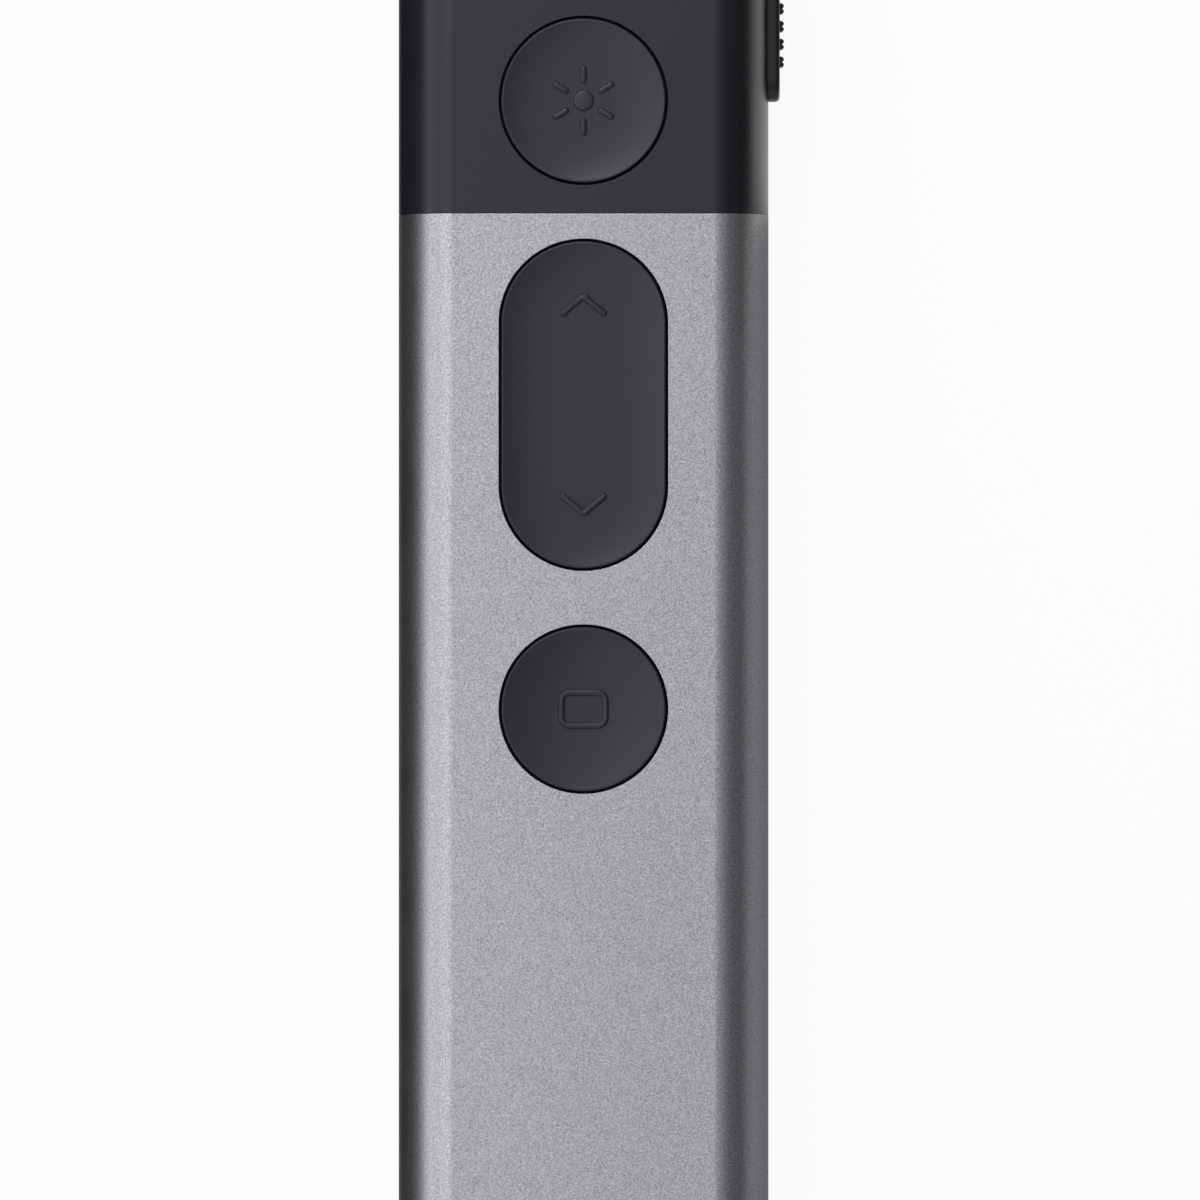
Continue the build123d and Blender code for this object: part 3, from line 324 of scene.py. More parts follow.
drawn_metal("brass", (0.60, 0.45, 0.20), 0.30, 0.15 * mm, 0.002 * mm)
drawn_metal("steel", (0.55, 0.55, 0.56), 0.32, 0.10 * mm, 0.002 * mm)
drawn_metal("black_screw_steel", (0.035, 0.035, 0.038), 0.38, 0.10 * mm, 0.002 * mm)
drawn_metal("nickel", (0.70, 0.69, 0.66), 0.24, 0.12 * mm, 0.002 * mm)
drawn_metal("gold", (0.85, 0.62, 0.25), 0.22, 0.10 * mm, 0.001 * mm)
print("finishes:", len(finishes))

# %% [markdown]
# ### Glass, light and the rest
# The laser's window is red glass, and its lens is clear. The light pipe is clear plastic that glows green
# from the light below it. The circuit board is glass laminate under green mask, and the cell wears a
# printed film.

# %% Glass, light and the rest
nodes, links, shader = finish("window_glass", (0.60, 0.02, 0.03), 0.05)
put(shader, {"Transmission Weight": 0.85, "IOR": 1.5})
bumps(nodes, links, shader, grain(nodes, links, 2 * mm), 0.001 * mm)

nodes, links, shader = finish("lens_glass", (0.92, 0.94, 0.97), 0.03)
put(shader, {"Transmission Weight": 1.0, "IOR": 1.5})
bumps(nodes, links, shader, grain(nodes, links, 1 * mm), 0.0005 * mm)

glow_colour = (0.03, 0.80, 0.12)
nodes, links, shader = finish("light_pipe_clear", (0.15, 0.60, 0.22), 0.20)
put(shader, {"Emission Color": (*glow_colour, 1), "Emission Strength": 1.2})
links.new(between(nodes, links, grain(nodes, links, 0.3 * mm), 0.15, 0.30), shader.inputs["Roughness"])

nodes, links, shader = finish("lamp_lens", (0.75, 0.90, 0.72), 0.12)
put(shader, {"Emission Color": (*glow_colour, 1), "Emission Strength": 2.0})
bumps(nodes, links, shader, grain(nodes, links, 0.3 * mm), 0.002 * mm)

mask_green = (0.02, 0.16, 0.07)
nodes, links, shader = finish("board_laminate", mask_green, 0.30)
weave = nodes.new("ShaderNodeTexWave")
put(weave, {"Scale": 1 / (1.2 * mm), "Distortion": 1.5})
links.new(place_on_object(nodes), weave.inputs["Vector"])
links.new(shades(nodes, links, weave.outputs["Fac"], tint(mask_green, 0.8), tint(mask_green, 1.15)),
          shader.inputs["Base Color"])
bumps(nodes, links, shader, weave.outputs["Fac"], 0.003 * mm)

film_grey = (0.10, 0.11, 0.13)
nodes, links, shader = finish("cell_jacket", film_grey, 0.25, metallic=0.6)
put(shader, {"Coat Weight": 0.6})
links.new(shades(nodes, links, grain(nodes, links, 4 * mm), tint(film_grey, 0.85), tint(film_grey, 1.2)),
          shader.inputs["Base Color"])
bumps(nodes, links, shader, grain(nodes, links, 1.5 * mm), 0.004 * mm)
print("finishes:", sorted(finishes))

# %% [markdown]
# ### A finish for every piece
# The record says which finish each piece of the frame has. The pieces inside are seen only when the door or
# the receiver is out, but they are finished as well.

# %% A finish for every piece
slot_of = {entry["node"]: entry["material_slot"] for entry in frame["record"]["subparts"]}
for node, piece in frame["nodes"].items():
    piece.data.materials.append(finishes[slot_of[node]])
print("nodes with a finish:", len(slot_of))

# %% [markdown]
# ## The body's section
# Sleeve and head share one section: a flat front and back, joined by flanks that are half an ellipse. A
# bevel gives round corners only, so the bar starts flatter than the body. Its long edges are bevelled until
# each flank is half a circle, and the whole is then stretched in height, which turns the half circles into
# half ellipses.

# %% A bar with the body's section
body_width = 26 * mm
body_height = 14 * mm
flank_depth = 3.87 * mm
flat_half = body_width / 2 - flank_depth
mid_z = body_height / 2
tail_y = sleeve_low.y
seam_y = sleeve_high.y
tip_y = head_high.y


def body_bar(low_y, high_y, inset=0.0):
    """A solid bar with the body's section, smaller all round by the inset."""
    depth = flank_depth - inset
    height = body_height - 2 * inset
    nothing_selected()
    bpy.ops.mesh.primitive_cube_add(
        size=1, location=(0, (low_y + high_y) / 2, mid_z),
        scale=(body_width - 2 * inset, high_y - low_y, 2 * depth),
    )
    bar = settle(bpy.context.object, "bar")
    choose(bar, "EDGE", along_body)
    bevel_chosen(depth, segments=40)
    bpy.ops.mesh.select_all(action="SELECT")
    bpy.ops.mesh.remove_doubles(threshold=a_hair)
    bpy.ops.transform.resize(value=(1, 1, height / (2 * depth)), center_override=(0, 0, mid_z))
    nothing_selected()
    return bar


def hollow(piece, wall, is_open):
    """Opens the ends whose y passes the test, and gives what is left a wall that grows inwards."""
    choose(piece, "FACE", lambda face: abs(face.normal.y) > 0.9 and is_open(face.calc_center_median().y))
    bpy.ops.mesh.delete(type="FACE")
    modify(piece, "SOLIDIFY", thickness=wall, offset=-1, use_even_offset=True)


def on_outline(vert, y):
    """True for a corner on the outer outline of the section at y."""
    across = max(abs(vert.co.x) - flat_half, 0) / flank_depth
    up = (vert.co.z - mid_z) / mid_z
    return abs(vert.co.y - y) < a_hair and across ** 2 + up ** 2 > 0.97


def soften_end(piece, y, size, segments):
    """Takes the sharpness off the outline of an end."""
    count = choose(piece, "EDGE", lambda edge: all(on_outline(vert, y) for vert in edge.verts))
    bevel_chosen(size, segments)
    nothing_selected()
    print(piece.name, "end edges:", count)


# %% [markdown]
# ## Cutters
# Holes are cut with solid bars: blocks, and bars with round ends. For a stretched one the two halves of a
# cylinder are moved apart. It has no corner on the line between the halves, so every corner belongs to one
# of them. A screw's hole is a round bar and a cone for the countersunk head.

# %% Blocks, bars with round ends and screw holes
def block(low, high):
    """A plain block between two corners."""
    size = [b - a for a, b in zip(low, high)]
    centre = [(a + b) / 2 for a, b in zip(low, high)]
    nothing_selected()
    bpy.ops.mesh.primitive_cube_add(size=1, location=centre, scale=size)
    return settle(bpy.context.object, "block")


def spread(piece, axis, centre, amount):
    """Moves the two halves of a piece apart along an axis."""
    for side in (-1, 1):
        choose(piece, "VERT", lambda vert: side * (vert.co[axis] - centre) > 0)
        move = [0, 0, 0]
        move[axis] = side * amount / 2
        bpy.ops.transform.translate(value=move)
    nothing_selected()
    return piece


def round_bar(place, radius, height, straight=0.0, along="Z", sides=126):
    """A round bar with its length along an axis, and stretched in Y by its straight part."""
    turn = {"X": (0, math.pi / 2, 0), "Y": (math.pi / 2, 0, 0), "Z": (0, 0, 0)}[along]
    nothing_selected()
    bpy.ops.mesh.primitive_cylinder_add(
        vertices=sides, radius=radius, depth=height, location=place, rotation=turn
    )
    bar = settle(bpy.context.object, "round_bar")
    return spread(bar, 1, place[1], straight) if straight else bar


def cut_screw_hole(piece, place, along):
    """A countersunk hole from a place on a face inwards, along Y or Z."""
    hole_radius, sink_wide, sink_narrow = 0.9 * mm, 1.7 * mm, 0.7 * mm
    cut(piece, round_bar(place, hole_radius, 4 * mm, along=along, sides=46))
    centre = list(place)
    centre["XYZ".index(along)] += 0.3 * mm
    nothing_selected()
    bpy.ops.mesh.primitive_cone_add(
        vertices=64, radius1=sink_wide, radius2=sink_narrow, depth=mm, location=centre,
        rotation=(-math.pi / 2 if along == "Y" else 0, 0, 0),
    )
    cut(piece, settle(bpy.context.object, "countersink"))


# %% [markdown]
# ## Last touches
# Real edges are never quite sharp. A Bevel modifier rounds all edges that are sharper than an angle. The
# smooth shading is then weighted by area, so that large flat faces stay flat beside their small roundings.

# %% Rounded edges and even shading
def round_edges(piece, size):
    """Rounds every edge that is sharper than 35 degrees."""
    modify(piece, "BEVEL", width=size, segments=2, limit_method="ANGLE", angle_limit=math.radians(35))


def hand_over(piece, name, body, node, slot):
    """Shades a piece, gives it its name, its finish and its body, and hides the node that it replaces."""
    settle(piece, name)
    bpy.ops.object.shade_smooth_by_angle(angle=math.radians(50))
    print(name, "faces:", len(piece.data.polygons))
    modify(piece, "WEIGHTED_NORMAL", keep_sharp=True)
    piece.data.materials.append(finishes[slot])
    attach(piece, body)
    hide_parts(node)
    nothing_selected()


# %% [markdown]
# ## Where the keys are
# The frame's key caps say where the keys are. The holes are a little wider, so that a thin dark line is
# left round each key.

# %% Where the keys are
cap_radius = 5.74 * mm
hole_radius = 5.93 * mm
edge_break = 0.03 * mm
keys = {}
for key in ("laser_button_cap", "page_rocker_cap", "screen_button_cap"):
    low, high = span(key)
    straight = high.y - low.y - 2 * cap_radius
    keys[key] = ((low.y + high.y) / 2, straight if straight > mm else 0.0)
    print(key, "mm:", in_mm(keys[key]))


def from_key(point, key):
    """How far a point is from the middle line of a key."""
    centre, straight = keys[key]
    return math.hypot(point.x, max(abs(point.y - centre) - straight / 2, 0))


def cut_key_hole(piece, key):
    """Cuts a key's hole through the front and takes the sharpness off its edge."""
    centre, straight = keys[key]
    cut(piece, round_bar((0, centre, body_height), hole_radius, 5 * mm, straight))
    count = choose(piece, "EDGE", lambda edge: all(
        abs(vert.co.z - body_height) < a_hair and abs(from_key(vert.co, key) - hole_radius) < 5 * a_hair
        for vert in edge.verts
    ))
    bevel_chosen(edge_break, segments=2)
    nothing_selected()
    print("hole for", key, "edges:", count)


# %% [markdown]
# ## The aluminium sleeve
# The real sleeve is a tube drawn through a die, sawn to length, blasted and anodised, with the key holes
# milled through its front and the door's slot through its back. A bar with open ends gets its wall from a
# Solidify modifier, and the openings are cut.

# %% The aluminium sleeve
sleeve_wall = 1.2 * mm
sleeve = body_bar(tail_y, seam_y)
hollow(sleeve, sleeve_wall, lambda y: True)
soften_end(sleeve, tail_y, size=0.15 * mm, segments=3)
soften_end(sleeve, seam_y, size=edge_break, segments=1)
for key in ("page_rocker_cap", "screen_button_cap"):
    cut_key_hole(sleeve, key)
door_low, door_high = span("battery_door")
slot_half = 7.98 * mm
door_gap = 0.15 * mm
slot_end = door_high.y + door_gap
cut(sleeve, block((-slot_half, tail_y - mm, -mm), (slot_half, slot_end, 2 * mm)))
print("sleeve, mm:", in_mm(sleeve.dimensions))
hand_over(sleeve, "sleeve", "casing", "aluminium_sleeve", "anodised_aluminium")

# %% [markdown]
# ## The black head
# The head is one moulding, closed at the tip. It gets its wall before the tip is rounded, because a wall
# thicker than the rounding would fold over inside it. Two cheeks reach into the sleeve and hold both in
# line, and a ring inside the tip holds the laser.

# %% The head's shell
head_wall = 1.4 * mm
tip_rounding = 1.2 * mm
cheek_inset, cheek_wall = 1.3 * mm, 1.0 * mm
socket_radius, socket_length = 4.0 * mm, 3.2 * mm
shell_end = tip_y - head_wall
head = body_bar(seam_y, tip_y)
hollow(head, head_wall, lambda y: y < shell_end)
soften_end(head, tip_y, size=tip_rounding, segments=12)
soften_end(head, seam_y, size=0.05 * mm, segments=1)
cheeks = body_bar(head_low.y, seam_y + 4 * mm, inset=cheek_inset)
hollow(cheeks, cheek_wall, lambda y: True)
between_cheeks = block((-flat_half, head_low.y - mm, -mm), (flat_half, seam_y + 5 * mm, 2 * body_height))
cut(cheeks, between_cheeks)
join(head, cheeks)
socket_place = (0, shell_end - 1.4 * mm, mid_z)
socket = round_bar(socket_place, socket_radius, socket_length, along="Y", sides=96)
join(head, socket)
print("head, mm:", in_mm(head.dimensions))

# %% [markdown]
# The head's openings are the button's hole, the light pipe's, the slider's slot, the laser's stepped window
# and two countersunk screw holes in the back.

# %% The head's openings
cut_key_hole(head, "laser_button_cap")
pipe_low, pipe_high = span("light_pipe")
pipe_y = (pipe_low.y + pipe_high.y) / 2
pipe_hole = 0.9 * mm
cut(head, round_bar((0, pipe_y, body_height), pipe_hole, 5 * mm, sides=62))
for radius, start, end in (
    (3.0 * mm, shell_end - 4 * mm, shell_end),  # for the barrel
    (2.8 * mm, tip_y - 0.8 * mm, tip_y + mm),  # for the window
    (1.9 * mm, tip_y - 3 * mm, tip_y + mm),  # for the beam
):
    bore = round_bar((0, (start + end) / 2, mid_z), radius, end - start, along="Y", sides=94)
    cut(head, bore)
slider_low, slider_high = span("power_slider")
slider_y = (slider_low.y + slider_high.y) / 2
slider_travel = 2 * mm
slot_radius, slot_straight = 1.22 * mm, 4.8 * mm
slot_place = (body_width / 2, slider_y - slider_travel / 2, mid_z)
slot = round_bar(slot_place, slot_radius, 4 * mm, slot_straight, along="X", sides=62)
cut(head, slot)
head_screw_x, head_screw_y = 7.03 * mm, 46.125 * mm
for side in (-1, 1):
    cut_screw_hole(head, (side * head_screw_x, head_screw_y, 0), "Z")
hand_over(head, "head", "casing", "head_shell", "head_plastic")

# %% [markdown]
# ## The key caps
# Each cap is a disc, or a pill, with a rounded rim and a hollow that guides the finger. From the flat top
# of a bar one ring after another is inset and sunk: first round the rim, then steeply down the side of the
# hollow and across its almost level bottom. The screen button's hollow is a little deeper and rounder, so
# that the thumb can tell it apart.

# %% A blank cap
cap_bottom = 12.1 * mm
rim_radius = 0.1 * mm
rim_steps, dish_steps = 6, 20
dish_reach = cap_radius - rim_radius
dishes = {
    "laser_button_cap": (0.45 * mm, 3.6),
    "page_rocker_cap": (0.45 * mm, 3.6),
    "screen_button_cap": (0.62 * mm, 2.3),
}


def dish_drop(distance, key):
    """How deep a key's hollow is at a distance from its middle line."""
    depth, power = dishes[key]
    return depth * (1 - min(distance / dish_reach, 1) ** power)


def cap_profile(key):
    """Distance from the middle line and height over the front, from the wall's top to the hollow's bottom."""
    turns = [math.pi / 2 * step / rim_steps for step in range(rim_steps + 1)]
    rim = [(cap_radius - rim_radius + rim_radius * math.cos(turn), -rim_radius + rim_radius * math.sin(turn))
           for turn in turns]
    reaches = [dish_reach * (1 - 0.8 * (step / dish_steps) ** 1.3) for step in range(1, dish_steps + 1)]
    return rim + [(reach, -dish_drop(reach, key)) for reach in reaches]


def blank_cap(key):
    """A cap with its rim and hollow, and no sign yet."""
    centre, straight = keys[key]
    top = body_height - rim_radius
    cap = round_bar((0, centre, (cap_bottom + top) / 2), cap_radius, top - cap_bottom, straight)
    choose(cap, "FACE", lambda face: face.normal.z > 0.9)
    profile = cap_profile(key)
    for (wide, low), (narrow, high) in zip(profile, profile[1:]):
        bpy.ops.mesh.inset(thickness=wide - narrow, depth=high - low)
    nothing_selected()
    return cap


# %% [markdown]
# ### Raised signs
# The signs are soft raised lines, moulded with the cap. A ball whose halves are moved apart is a straight
# line with round ends, and a ring whose quarters are moved apart is the outline of a screen. The lines are
# laid on the hollow and joined to the cap, with half of each below its surface.

# %% Lines for the signs
line_half, line_rise, fullness = 0.22 * mm, 0.20 * mm, 0.7


def straight_line(x, y, length, angle):
    """A line with round ends and its middle at x, y, turned by an angle from Y."""
    nothing_selected()
    bpy.ops.mesh.primitive_uv_sphere_add(
        segments=20, ring_count=13, radius=line_half, location=(x, y, 0), rotation=(math.pi / 2, 0, 0)
    )
    line = spread(settle(bpy.context.object, "line"), 1, y, length - 2 * line_half)
    turned = Matrix.Translation((x, y, 0)) @ Matrix.Rotation(angle, 4, "Z") @ Matrix.Translation((-x, -y, 0))
    line.data.transform(turned)
    return line


def frame_line(y, radius, width, height):
    """The outline of a rounded rectangle, with quarter rings for its corners."""
    sides = 64
    nothing_selected()
    bpy.ops.mesh.primitive_torus_add(
        major_segments=sides, minor_segments=16, major_radius=radius, minor_radius=line_half,
        location=(0, y, 0), rotation=(0, 0, math.pi / sides),
    )
    ring = settle(bpy.context.object, "ring")
    spread(ring, 0, 0, width - 2 * radius)
    return spread(ring, 1, y, height - 2 * radius)


def disc(y, radius):
    """A flat disc with a rounded rim."""
    plate = round_bar((0, y, -line_half / 2), radius, line_half, sides=64)
    choose(plate, "FACE", lambda face: face.normal.z > 0.9)
    for inset, rise in ((0.15, 0.6), (0.25, 0.25), (0.4, 0.15)):
        bpy.ops.mesh.inset(thickness=inset * line_half, depth=rise * line_half)
    nothing_selected()
    return plate


def mould_sign(cap, key, lines):
    """Lays the lines on the cap's hollow, each a hair lower than the last, and joins them to the cap."""
    for step, line in enumerate(lines):
        for vert in line.data.vertices:
            level = body_height - dish_drop(from_key(vert.co, key), key)
            share = vert.co.z / line_half
            rise = line_rise - 2 * step * a_hair
            vert.co.z = level + rise * math.copysign(abs(share) ** fullness, share)
        join(cap, line)


# %% [markdown]
# ### Under the caps
# A stem under each cap presses its switch. The round caps have two legs whose noses snap under the key
# frame, and the rocker clips over a steel pin with two open lugs.

# %% Stems, legs and lugs
stem_radius = 1.5 * mm
leg_root, leg_outer, leg_nose = 3.8 * mm, 4.6 * mm, 5.0 * mm
lug_x, lug_half, mouth_half = 2.8 * mm, 0.6 * mm, 0.6 * mm
lug_radius, lug_bore = 1.7 * mm, 0.8 * mm


def add_stem(cap, y):
    """A round stem down to the switch."""
    join(cap, round_bar((0, y, cap_bottom - 0.4 * mm), stem_radius, mm, sides=62))


def add_legs(cap, key):
    """Two legs with noses that slope inwards, so that they snap in by themselves."""
    y = keys[key][0]
    foot = span(key)[0].z
    nose_top = foot + 0.8 * mm
    for side in (-1, 1):
        root, outer, nose = side * leg_root, side * leg_outer, side * leg_nose
        leg = block((min(root, outer), y - mm, nose_top - 0.1 * mm),
                    (max(root, outer), y + mm, cap_bottom + 0.1 * mm))
        hook = block((min(root, nose), y - mm, foot), (max(root, nose), y + mm, nose_top))
        choose(hook, "FACE", lambda face: face.normal.z < -0.9)
        bpy.ops.transform.resize(value=(0.1, 1, 1), center_override=(root, 0, 0))
        join(leg, hook)
        join(cap, leg)


def add_lugs(cap, key):
    """Two lugs, open below, that clip over the pin."""
    y = keys[key][0]
    pin_z = sum(corner.z for corner in span("rocker_axle")) / 2
    for side in (-1, 1):
        x = side * lug_x
        lug = round_bar((x, y, pin_z), lug_radius, 2 * lug_half, along="X", sides=62)
        neck = block((x - lug_half, y - lug_radius, pin_z),
                     (x + lug_half, y + lug_radius, cap_bottom + 0.1 * mm))
        join(lug, neck)
        cut(lug, round_bar((x, y, pin_z), lug_bore, 2 * mm, along="X", sides=46))
        mouth = block((x - mm, y - mouth_half, pin_z - 3 * mm), (x + mm, y + mouth_half, pin_z))
        cut(lug, mouth)
        join(cap, lug)


# %% [markdown]
# ### The laser button
# Its sign is a sun: a small raised disc with six rays.

# %% The laser button
key = "laser_button_cap"
laser_y = keys[key][0]
laser_cap = blank_cap(key)
sun_radius, ray_middle, ray_length = 0.73 * mm, 1.82 * mm, 1.24 * mm
rays = [math.radians(60 * step) for step in range(6)]
mould_sign(laser_cap, key, [disc(laser_y, sun_radius)] + [
    straight_line(-ray_middle * math.sin(turn), laser_y + ray_middle * math.cos(turn), ray_length, turn)
    for turn in rays
])
add_stem(laser_cap, laser_y)
add_legs(laser_cap, key)
hand_over(laser_cap, "laser_button", "laser_button", key, "key_plastic")

# %% [markdown]
# ### The screen button
# Its sign is the outline of a screen with rounded corners.

# %% The screen button
key = "screen_button_cap"
screen_y = keys[key][0]
screen_cap = blank_cap(key)
screen_sign = frame_line(screen_y, radius=0.58 * mm, width=3.08 * mm, height=2.31 * mm)
mould_sign(screen_cap, key, [screen_sign])
add_stem(screen_cap, screen_y)
add_legs(screen_cap, key)
hand_over(screen_cap, "screen_button", "screen_button", key, "key_plastic")

# %% [markdown]
# ### The page rocker
# One long cap does both pages. It rocks on a pin across its middle and has a chevron at each end, pointing
# outwards. Each chevron is two arms with a short line across their peak, which rounds it.

# %% The page rocker
key = "page_rocker_cap"
rocker_y = keys[key][0]
rocker_cap = blank_cap(key)
arm_x, arm_y, peak = 1.43 * mm, 1.16 * mm, 0.16 * mm
chevron_from_pin, stem_from_pin = 7 * mm, 7.4 * mm
chevron_lines = []
for way in (-1, 1):
    middle_y = rocker_y + way * chevron_from_pin
    peak_y = middle_y + way * (arm_y / 2 - 0.06 * mm)
    chevron_lines.append(straight_line(0, peak_y, 2 * (peak + line_half), math.pi / 2))
    for side in (-1, 1):
        rise = arm_y * (1 - peak / arm_x)
        arm = math.hypot(arm_x - peak, rise) + 2 * line_half
        lean = side * way * math.atan2(arm_x, arm_y)
        foot_y = middle_y - way * arm_y / 2
        chevron_lines.append(straight_line(side * (arm_x + peak) / 2, foot_y + way * rise / 2, arm, lean))
mould_sign(rocker_cap, key, chevron_lines)
for way in (-1, 1):
    add_stem(rocker_cap, rocker_y + way * stem_from_pin)
add_lugs(rocker_cap, key)
hand_over(rocker_cap, "page_rocker", "page_rocker", key, "key_plastic")

# %% [markdown]
# ## The power slider
# The knob follows the flank's curve underneath and is flat on top, with seven ribs for the thumb. Each rib
# is a pair of small ridges with a groove between them.

# %% The slider's knob
knob_radius, knob_straight = 1.6 * mm, 9.9 * mm
knob_top = 13.79 * mm
edge_radius = 0.35 * mm
knob_foot = 11.4 * mm
knob_y = slider_y + 0.15 * mm
knob = round_bar(((knob_foot + knob_top - edge_radius) / 2, knob_y, mid_z), knob_radius,
                 knob_top - edge_radius - knob_foot, knob_straight, along="X")
choose(knob, "FACE", lambda face: face.normal.x > 0.9)
turns = [math.pi / 2 * step / rim_steps for step in range(rim_steps + 1)]
for a, b in zip(turns, turns[1:]):
    bpy.ops.mesh.inset(thickness=edge_radius * (math.cos(a) - math.cos(b)),
                       depth=edge_radius * (math.sin(b) - math.sin(a)))
nothing_selected()
flank_gap = 0.02 * mm
cut(knob, body_bar(slider_low.y - mm, slider_high.y + mm, inset=-flank_gap))
print("knob, mm:", in_mm(knob.dimensions))

# %% [markdown]
# ### Ribs and neck
# A ball that is squashed and pulled apart is one ridge, and fourteen of them are joined to the knob. The
# neck goes through the slot in the head, and two hooks behind the wall hold it. A gap cut into its end
# takes the switch's lever.

# %% The slider's ribs and neck
rib_pitch, ridge_offset = 1.25 * mm, 0.19 * mm
ridge_height, ridge_half, ridge_length = 0.3 * mm, 0.21 * mm, 2.2 * mm
neck_radius, neck_straight = 1.1 * mm, 2.8 * mm
for step in range(-3, 4):
    for side in (-1, 1):
        ridge_y = knob_y + step * rib_pitch + side * ridge_offset
        nothing_selected()
        bpy.ops.mesh.primitive_uv_sphere_add(
            segments=20, ring_count=13, radius=1, location=(knob_top, ridge_y, mid_z),
            scale=(ridge_height, ridge_half, ridge_half),
        )
        ridge = spread(settle(bpy.context.object, "ridge"), 2, mid_z, ridge_length - 2 * ridge_half)
        join(knob, ridge)
neck = round_bar((11.8 * mm, slider_y, mid_z), neck_radius, 2.6 * mm, neck_straight, along="X", sides=62)
join(knob, neck)
hook_foot, hook_top, hook_half = 10.6 * mm, 11.38 * mm, 3.1 * mm
hooks = block((hook_foot, slider_y - hook_half, mid_z - neck_radius),
              (hook_top, slider_y + hook_half, mid_z + neck_radius))
join(knob, hooks)
fork_half, fork_end = 0.7 * mm, 11.5 * mm
fork = block((10 * mm, slider_y - fork_half, mid_z - 2 * mm),
             (fork_end, slider_y + fork_half, mid_z + 2 * mm))
cut(knob, fork)
hand_over(knob, "power_slider_knob", "power_slider", "power_slider", "slider_plastic")

# %% [markdown]
# ## The battery door
# The door is a plate that fills the slot in the back. Two rails on it run inside the sleeve's wall, its
# tail end fills the notch in the cap, and six grooves give the thumb a grip.

# %% The battery door
door_half = slot_half - door_gap
cap_inner_y = door_low.y + 1.4 * mm
rail_foot, rail_top = 1.3 * mm, 2.15 * mm
rail_near, rail_far = 6.88 * mm, 8.58 * mm
door = block((-door_half, door_low.y, door_low.z), (door_half, door_high.y, rail_foot))
for side in (-1, 1):
    left, right = sorted((side * rail_near, side * rail_far))
    rail = block((left, tail_y + 0.1 * mm, rail_foot - a_hair), (right, door_high.y, rail_top))
    join(door, rail)
tail_end = block((-rail_far, door_low.y, rail_foot - a_hair), (rail_far, cap_inner_y, rail_top))
join(door, tail_end)
round_edges(door, size=0.08 * mm)
grip_y = door_low.y + 10 * mm
grooves, groove_pitch, groove_radius, groove_straight = 6, 1.6 * mm, 0.35 * mm, 8.3 * mm
for step in range(grooves):
    groove_y = grip_y + (step - (grooves - 1) / 2) * groove_pitch
    nothing_selected()
    bpy.ops.mesh.primitive_uv_sphere_add(
        segments=24, ring_count=17, radius=groove_radius, location=(0, groove_y, door_low.z),
        rotation=(0, math.pi / 2, 0),
    )
    groove = spread(settle(bpy.context.object, "groove"), 0, 0, groove_straight)
    cut(door, groove)
hand_over(door, "battery_door_plate", "battery_door", "battery_door", "door_plastic")

# %% [markdown]
# ## The tail cap
# The cap closes the tube's end. It has a window for the receiver, a notch for the door and two countersunk
# screws.

# %% The tail cap
cap_low, cap_high = span("tail_cap")
housing_low, housing_high = span("receiver_housing")
outside, inside = cap_low.y - mm, cap_high.y + mm
dock_gap = 0.15 * mm
tail_cap = body_bar(cap_low.y, cap_high.y, inset=0.15 * mm)
dock = block((housing_low.x - dock_gap, outside, housing_low.z - dock_gap),
             (housing_high.x + dock_gap, inside, housing_high.z + dock_gap))
cut(tail_cap, dock)
notch_top, notch_half = 2.3 * mm, 8.73 * mm
for half, foot in ((slot_half, -mm), (notch_half, 1.2 * mm)):
    cut(tail_cap, block((-half, outside, foot), (half, inside, notch_top)))
tail_screw_x = 10.1 * mm
for side in (-1, 1):
    cut_screw_hole(tail_cap, (side * tail_screw_x, cap_low.y, mid_z), "Y")
round_edges(tail_cap, size=0.08 * mm)
hand_over(tail_cap, "tail_end_cap", "casing", "tail_cap", "head_plastic")

# %% [markdown]
# ## The receiver's housing
# The receiver is parked in the tail with its plug inwards. Its end is flush with the cap, and a notch above
# and below lets a fingernail pull it out.

# %% The receiver's housing
half_wide, half_thick = housing_high.x, housing_high.z - mid_z
end_rim, well_inside = 0.2 * mm, 0.15 * mm


def on_end_rim(vert):
    """True for a corner on the outline of the receiver's end."""
    inner = abs(vert.co.x) < half_wide - well_inside and abs(vert.co.z - mid_z) < half_thick - well_inside
    return vert.co.y < housing_low.y + a_hair and not inner


housing = block(housing_low, housing_high)
choose(housing, "EDGE", along_body)
bevel_chosen(0.8 * mm, segments=8)
choose(housing, "FACE", lambda face: face.normal.y < -0.9)
bpy.ops.mesh.inset(thickness=end_rim, depth=0.0)
choose(housing, "VERT", on_end_rim)
bpy.ops.transform.translate(value=(0, end_rim, 0))
nothing_selected()
nail_half, nail_depth = 4 * mm, 0.5 * mm
for side in (-1, 1):
    edge_z = mid_z + side * half_thick
    notch = block((-nail_half, housing_low.y - mm, edge_z - nail_depth),
                  (nail_half, housing_low.y + nail_depth, edge_z + nail_depth))
    cut(housing, notch)
round_edges(housing, size=0.06 * mm)
hand_over(housing, "receiver_shell", "usb_receiver", "receiver_housing", "receiver_plastic")

# %% [markdown]
# ## The screws
# Four black countersunk screws hold the head and the tail cap. One is modelled, with a cross recess, and
# copied.

# %% One screw
screw_head, screw_core, screw_rim = 1.4 * mm, 0.8 * mm, 0.05 * mm
cross_reach, cross_half, cross_depth = 0.8 * mm, 0.16 * mm, 0.45 * mm


